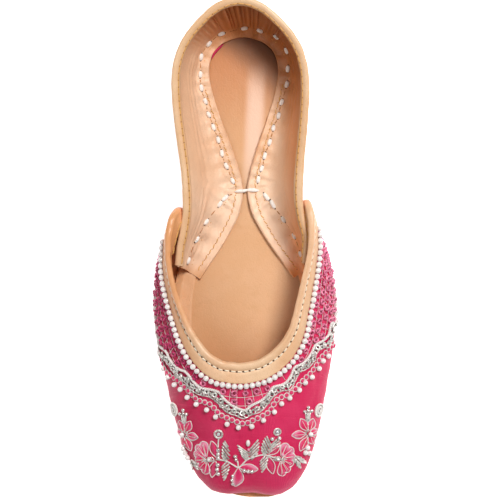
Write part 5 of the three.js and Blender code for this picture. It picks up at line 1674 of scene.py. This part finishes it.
class MOJARI_OT_flowers(bpy.types.Operator):
    """Work the leaves, fans and star flowers on the toe"""
    bl_idname = "mojari.flowers"
    bl_label = "Flowers"

    def execute(self, context):
        hand = SHARED.setdefault("hand", Embroidery())
        silver = hand.work("silver_leaves", "silver")
        stems = hand.work("silver_stems", "cord")
        outline = hand.work("petal_outlines", "cord")
        lens = hand.work("pink_leaves", "pink")
        petals = hand.work("flower_petals", "petal")
        deep = hand.work("deep_petals", "deep_petal")
        pearls = hand.work("flower_pearls", "pearl")
        beads = hand.work("silver_beads", "silver_bead")
        rosy = hand.work("pink_beads", "pink_bead")
        stones = hand.work("crystals", "crystal")
        rings = hand.work("bead_rings", "silver")

        # Middle of the toe
        for starts, ends in SLATS:
            for (x0, y0), (x1, y1) in zip(starts, ends):
                more = .35 / math.hypot(x1 - x0, y1 - y0)
                hand.strip(silver, (x0 - (x1 - x0) * more, y0 - (y1 - y0) * more),
                           (x1 + (x1 - x0) * more, y1 + (y1 - y0) * more), .47, taper=False)
        for base, tip, wide, bow in (((-4.3, -107.9), (-6.6, -117.8), 5.2, .9),
                                     ((-4.0, -107.6), (5.6, -108.9), 4.2, 0)):
            hand.petal(petals, outline, base, tip, wide, bend=bow, widest=.55, point=.85)
        hand.spray(stems, [(-15.4, -103.4), (-10.3, -104.4), (-7.2, -106.2), (-4.3, -107.7), (.2, -103.8),
                           (4.5, -102.1), (8.6, -101.4), (14.6, -103.1)], .42)
        hand.spray(stems, [(-4.3, -107.7), (-4.6, -104.6), (-5.4, -102.6)], .4)
        hand.spray(stems, [(-13.6, -92.5), (-13.9, -95.2), (-14.0, -97.3)], .4)
        for base, tip in (((-15.2, -102.4), (-17.2, -93.9)), ((-15.7, -104.2), (-17.9, -113.0)),
                          ((11.2, -101.4), (16.8, -96.0)), ((11.0, -102.4), (12.9, -111.4))):
            hand.petal(lens, outline, base, tip, 3.9, widest=.5, inner=.62, point=1.0)
        for (cx, cy), side, tips in (
                ((16.6, -103.4), 1, ((3.6, 7.6), (6.6, 5.0), (7.5, .9), (6.4, -3.6), (4.0, -7.3), (1.0, -9.2))),
                ((-19.6, -103.5), -1, ((2.2, 9.2), (5.4, 7.2), (6.7, 3.6), (6.4, -.6), (4.4, -5.0), (1.6, -7.8)))):
            for k, (dx, dy) in enumerate(tips):
                hand.petal(petals if k < 3 else deep, outline, (cx + side * dx * .16, cy + dy * .16),
                           (cx + side * dx, cy + dy), 4.2, widest=.68, point=.62)
                for bend in (-.5, .5):
                    vein = [(cx + side * dx * t + bend * t * .6, cy + dy * t + bend * t * .6) for t in (.25, .5, .85)]
                    hand.spray(outline, vein, .14, .8)
            rings.copy(hand.coil, hand.ground.place(cx - side * 1.0, cy, (1, 0), .6), (2.9, 2.9, 2.2))
            rings.copy(hand.coil, hand.ground.place(cx + side * 1.3, cy - .4, (1, 0), .6), (1.9, 1.9, 1.8))
            hand.put_bead(pearls, cx - side * 1.0, cy, 1.5, 1.1)
            hand.strip(silver, (cx - side * 3.4, cy + .1), (cx - side * 1.9, cy + 1.3), .36)
            hand.strip(silver, (cx - side * 3.4, cy - .1), (cx - side * 1.9, cy - 1.3), .36)
            hand.put_bead(rosy, cx + side * 1.2, cy + 1.9, 1.5)
        hand.put_bead(pearls, 1.0, -95.1, 2.2, stretch=1.6, toward=(0, 1))
        hand.put_bead(rosy, 1.2, -98.6, 1.5)
        hand.put_bead(beads, -5.6, -101.6, 2.2, stretch=.7, toward=(0, 1))
        hand.put_bead(beads, -5.2, -103.5, 1.9)
        for x, y in ((-13.9, -98.4), (-14.0, -100.5), (-14.1, -102.6), (-14.5, -106.0), (-14.8, -108.3),
                     (-14.5, -110.6), (12.9, -93.1), (16.4, -92.9), (.6, -109.4), (2.7, -109.5), (-1.4, -109.1)):
            hand.put_bead(beads, x, y, 2.1)
        for x, y in ((-7.3, -112.0), (-7.6, -114.0), (-7.4, -116.0)):
            hand.put_bead(beads, x, y, 1.8)
        for x, y, wide in ((-13.6, -90.5, 4.9), (15.5, -89.8, 4.2)):
            rings.copy(hand.wreath, hand.ground.place(x, y, (1, 0), .6), (wide, wide, wide * .9))
            stones.copy(hand.stone, hand.ground.place(x, y, (1, 0), .7), (2.0, 2.0, 1.6))
        self.stars(hand, silver, outline, (petals, deep), pearls, beads, stems)
        hand.make()
        return {"FINISHED"}

    def stars(self, hand, silver, outline, petals, pearls, beads, stems):
        """The six-petalled flower, bud and coil on each side."""
        right = [(27.1, -83.6), (33.2, -84.0), (35.2, -90.2), (32.8, -97.2), (26.5, -100.2), (22.5, -91.8)]
        left = [(-27.6, -84.2), (-33.6, -84.2), (-36.2, -90.4), (-33.6, -98.2), (-28.0, -99.7), (-24.0, -92.6)]
        for centre, tips, bud, side in (((31.0, -91.7), right, (30.6, -80.6), 1),
                                        ((-31.4, -91.4), left, (-31.0, -81.2), -1)):
            centre = np.array(centre)
            for k, tip in enumerate(tips):
                tip = np.array(tip)
                start = centre + (tip - centre) * .18
                hand.petal(petals[(k + 1) % 3 > 0], outline, start, tip, 3.9, widest=.5, point=1.05)
                hand.spray(outline, [start, start + (tip - start) * .5, start + (tip - start) * .8], .15, .8)
            hand.put_bead(pearls, centre[0] + .3 * side, centre[1], 2.5, 1.2)
            for angle in (110, 150, 190, 230):
                reach = np.array([math.cos(math.radians(angle)) * side, math.sin(math.radians(angle))])
                hand.strip(silver, centre + reach * .9, centre + reach * 2.2, .34)
            for dx, low in ((-1.0, .5), (0, 0), (1.0, .5)):
                hand.strip(silver, (bud[0] + dx * .5, bud[1] - 5.4 + low), (bud[0] + dx * 1.15, bud[1] + .4), .55)
            for dx, dy, wide in ((0, 2.4, 1.8), (-1.7, .5, 1.8), (1.7, .5, 1.8), (0, .8, 1.6)):
                hand.put_bead(beads, bud[0] + dx, bud[1] + dy, wide)
        for x, y in ((36.2, -80.2), (-36.5, -78.8)):
            for radius in (3.1, 1.7):
                stems.twisted(*hand.ground.ring(x, y, radius, .5), .62, 1.5, 2, 7, 5)
            hand.put_bead(beads, x, y, 1.4)
        for x, y in ((29.7, -98.6), (28.7, -100.9), (30.6, -101.4), (-31.5, -98.6), (-30.6, -100.8), (-29.4, -103.2)):
            hand.put_bead(pearls, x, y, 2.7)
        hand.leaf(silver, (23.6, -102.6), (28.6, -108.6), 4.8)
        hand.leaf(silver, (-27.8, -104.2), (-26.2, -110.8), 4.2)


class MOJARI_OT_stage(bpy.types.Operator):
    """Set the pale floor, the soft lights and the camera above the shoe"""
    bl_idname = "mojari.stage"
    bl_label = "Stage"

    def execute(self, context):
        bpy.ops.object.select_all(action="DESELECT")
        bpy.ops.mesh.primitive_plane_add(size=6, location=(0, 0, 0))
        floor = context.object
        floor.name = "floor"
        pale = Finish("pale_floor", (.92, .92, .92), .9)
        grain = pale.noise(pale.place(), 60, 2, .5)
        pale.feed(Base_Color=pale.blend(grain * .2, (.93, .93, .93), (.9, .9, .9)),
                  Emission_Color=(1, 1, 1, 1), Emission_Strength=.9)
        floor.data.materials.append(pale.material)
        world_light = bpy.data.worlds.new("room")
        world_light.use_nodes = True
        back = world_light.node_tree.nodes["Background"]
        back.inputs[0].default_value = (*context.scene.mojari_colours.wall, 1)
        back.inputs[1].default_value = .06
        context.scene.world = world_light
        context.scene.view_settings.view_transform = "Standard"
        for name, spot, aim, size, watts in (
            ("window", (.49, .50, 1.30), (0, 0, .02), .45, 19),
            ("ceiling", (-.6, -.25, 1.1), (0, 0, 0), .9, 4.2),
        ):
            data = bpy.data.lights.new(name, "AREA")
            data.shape, data.size, data.energy = "DISK", size, watts
            lamp = bpy.data.objects.new(name, data)
            context.scene.collection.objects.link(lamp)
            lamp.location = spot
            lamp.rotation_euler = (Vector(aim) - Vector(spot)).to_track_quat("-Z", "Y").to_euler()
        self.camera(context)
        return {"FINISHED"}

    def camera(self, context):
        data = bpy.data.cameras.new("overhead")
        data.lens, data.sensor_width, data.sensor_height, data.sensor_fit = 144, 36, 36, "HORIZONTAL"
        camera = bpy.data.objects.new("overhead", data)
        context.scene.collection.objects.link(camera)
        spot, aim = Vector(CAMERA_SPOT), Vector(CAMERA_AIM)
        back = (spot - aim).normalized()
        up = Vector((math.sin(math.radians(CAMERA_TURN)), math.cos(math.radians(CAMERA_TURN)), 0))
        right = up.cross(back).normalized()
        turn = Matrix((right, back.cross(right), back)).transposed().to_4x4()
        turn.translation = spot
        camera.matrix_world = turn
        context.scene.camera = camera


class MOJARI_PT_panel(bpy.types.Panel):
    """The pieces of the shoe, in the order they are made"""
    bl_idname = "MOJARI_PT_panel"
    bl_label = "Mojari"
    bl_space_type = "VIEW_3D"
    bl_region_type = "UI"
    bl_category = "Mojari"

    def draw(self, context):
        column = self.layout.column()
        for group in (context.scene.mojari_sizes, context.scene.mojari_colours):
            for name in group.__annotations__:
                column.prop(group, name)
        for name in STEPS:
            column.operator(f"mojari.{name}")


STEPS = ["stage", "sole", "sock", "vamp", "throat_binding", "quarter", "pearl_trim", "flowers"]
CLASSES = [
    MojariSizes, MojariColours, MOJARI_OT_sole, MOJARI_OT_sock, MOJARI_OT_vamp, MOJARI_OT_throat_binding,
    MOJARI_OT_quarter, MOJARI_OT_pearl_trim, MOJARI_OT_flowers, MOJARI_OT_stage, MOJARI_PT_panel,
]


def register():
    for item in CLASSES:
        bpy.utils.register_class(item)
    bpy.types.Scene.mojari_sizes = bpy.props.PointerProperty(type=MojariSizes)
    bpy.types.Scene.mojari_colours = bpy.props.PointerProperty(type=MojariColours)


def unregister():
    del bpy.types.Scene.mojari_colours
    del bpy.types.Scene.mojari_sizes
    for item in reversed(CLASSES):
        bpy.utils.unregister_class(item)


def main():
    register()
    for name in STEPS:
        getattr(bpy.ops.mojari, name)()


if __name__ == "__main__":
    main()
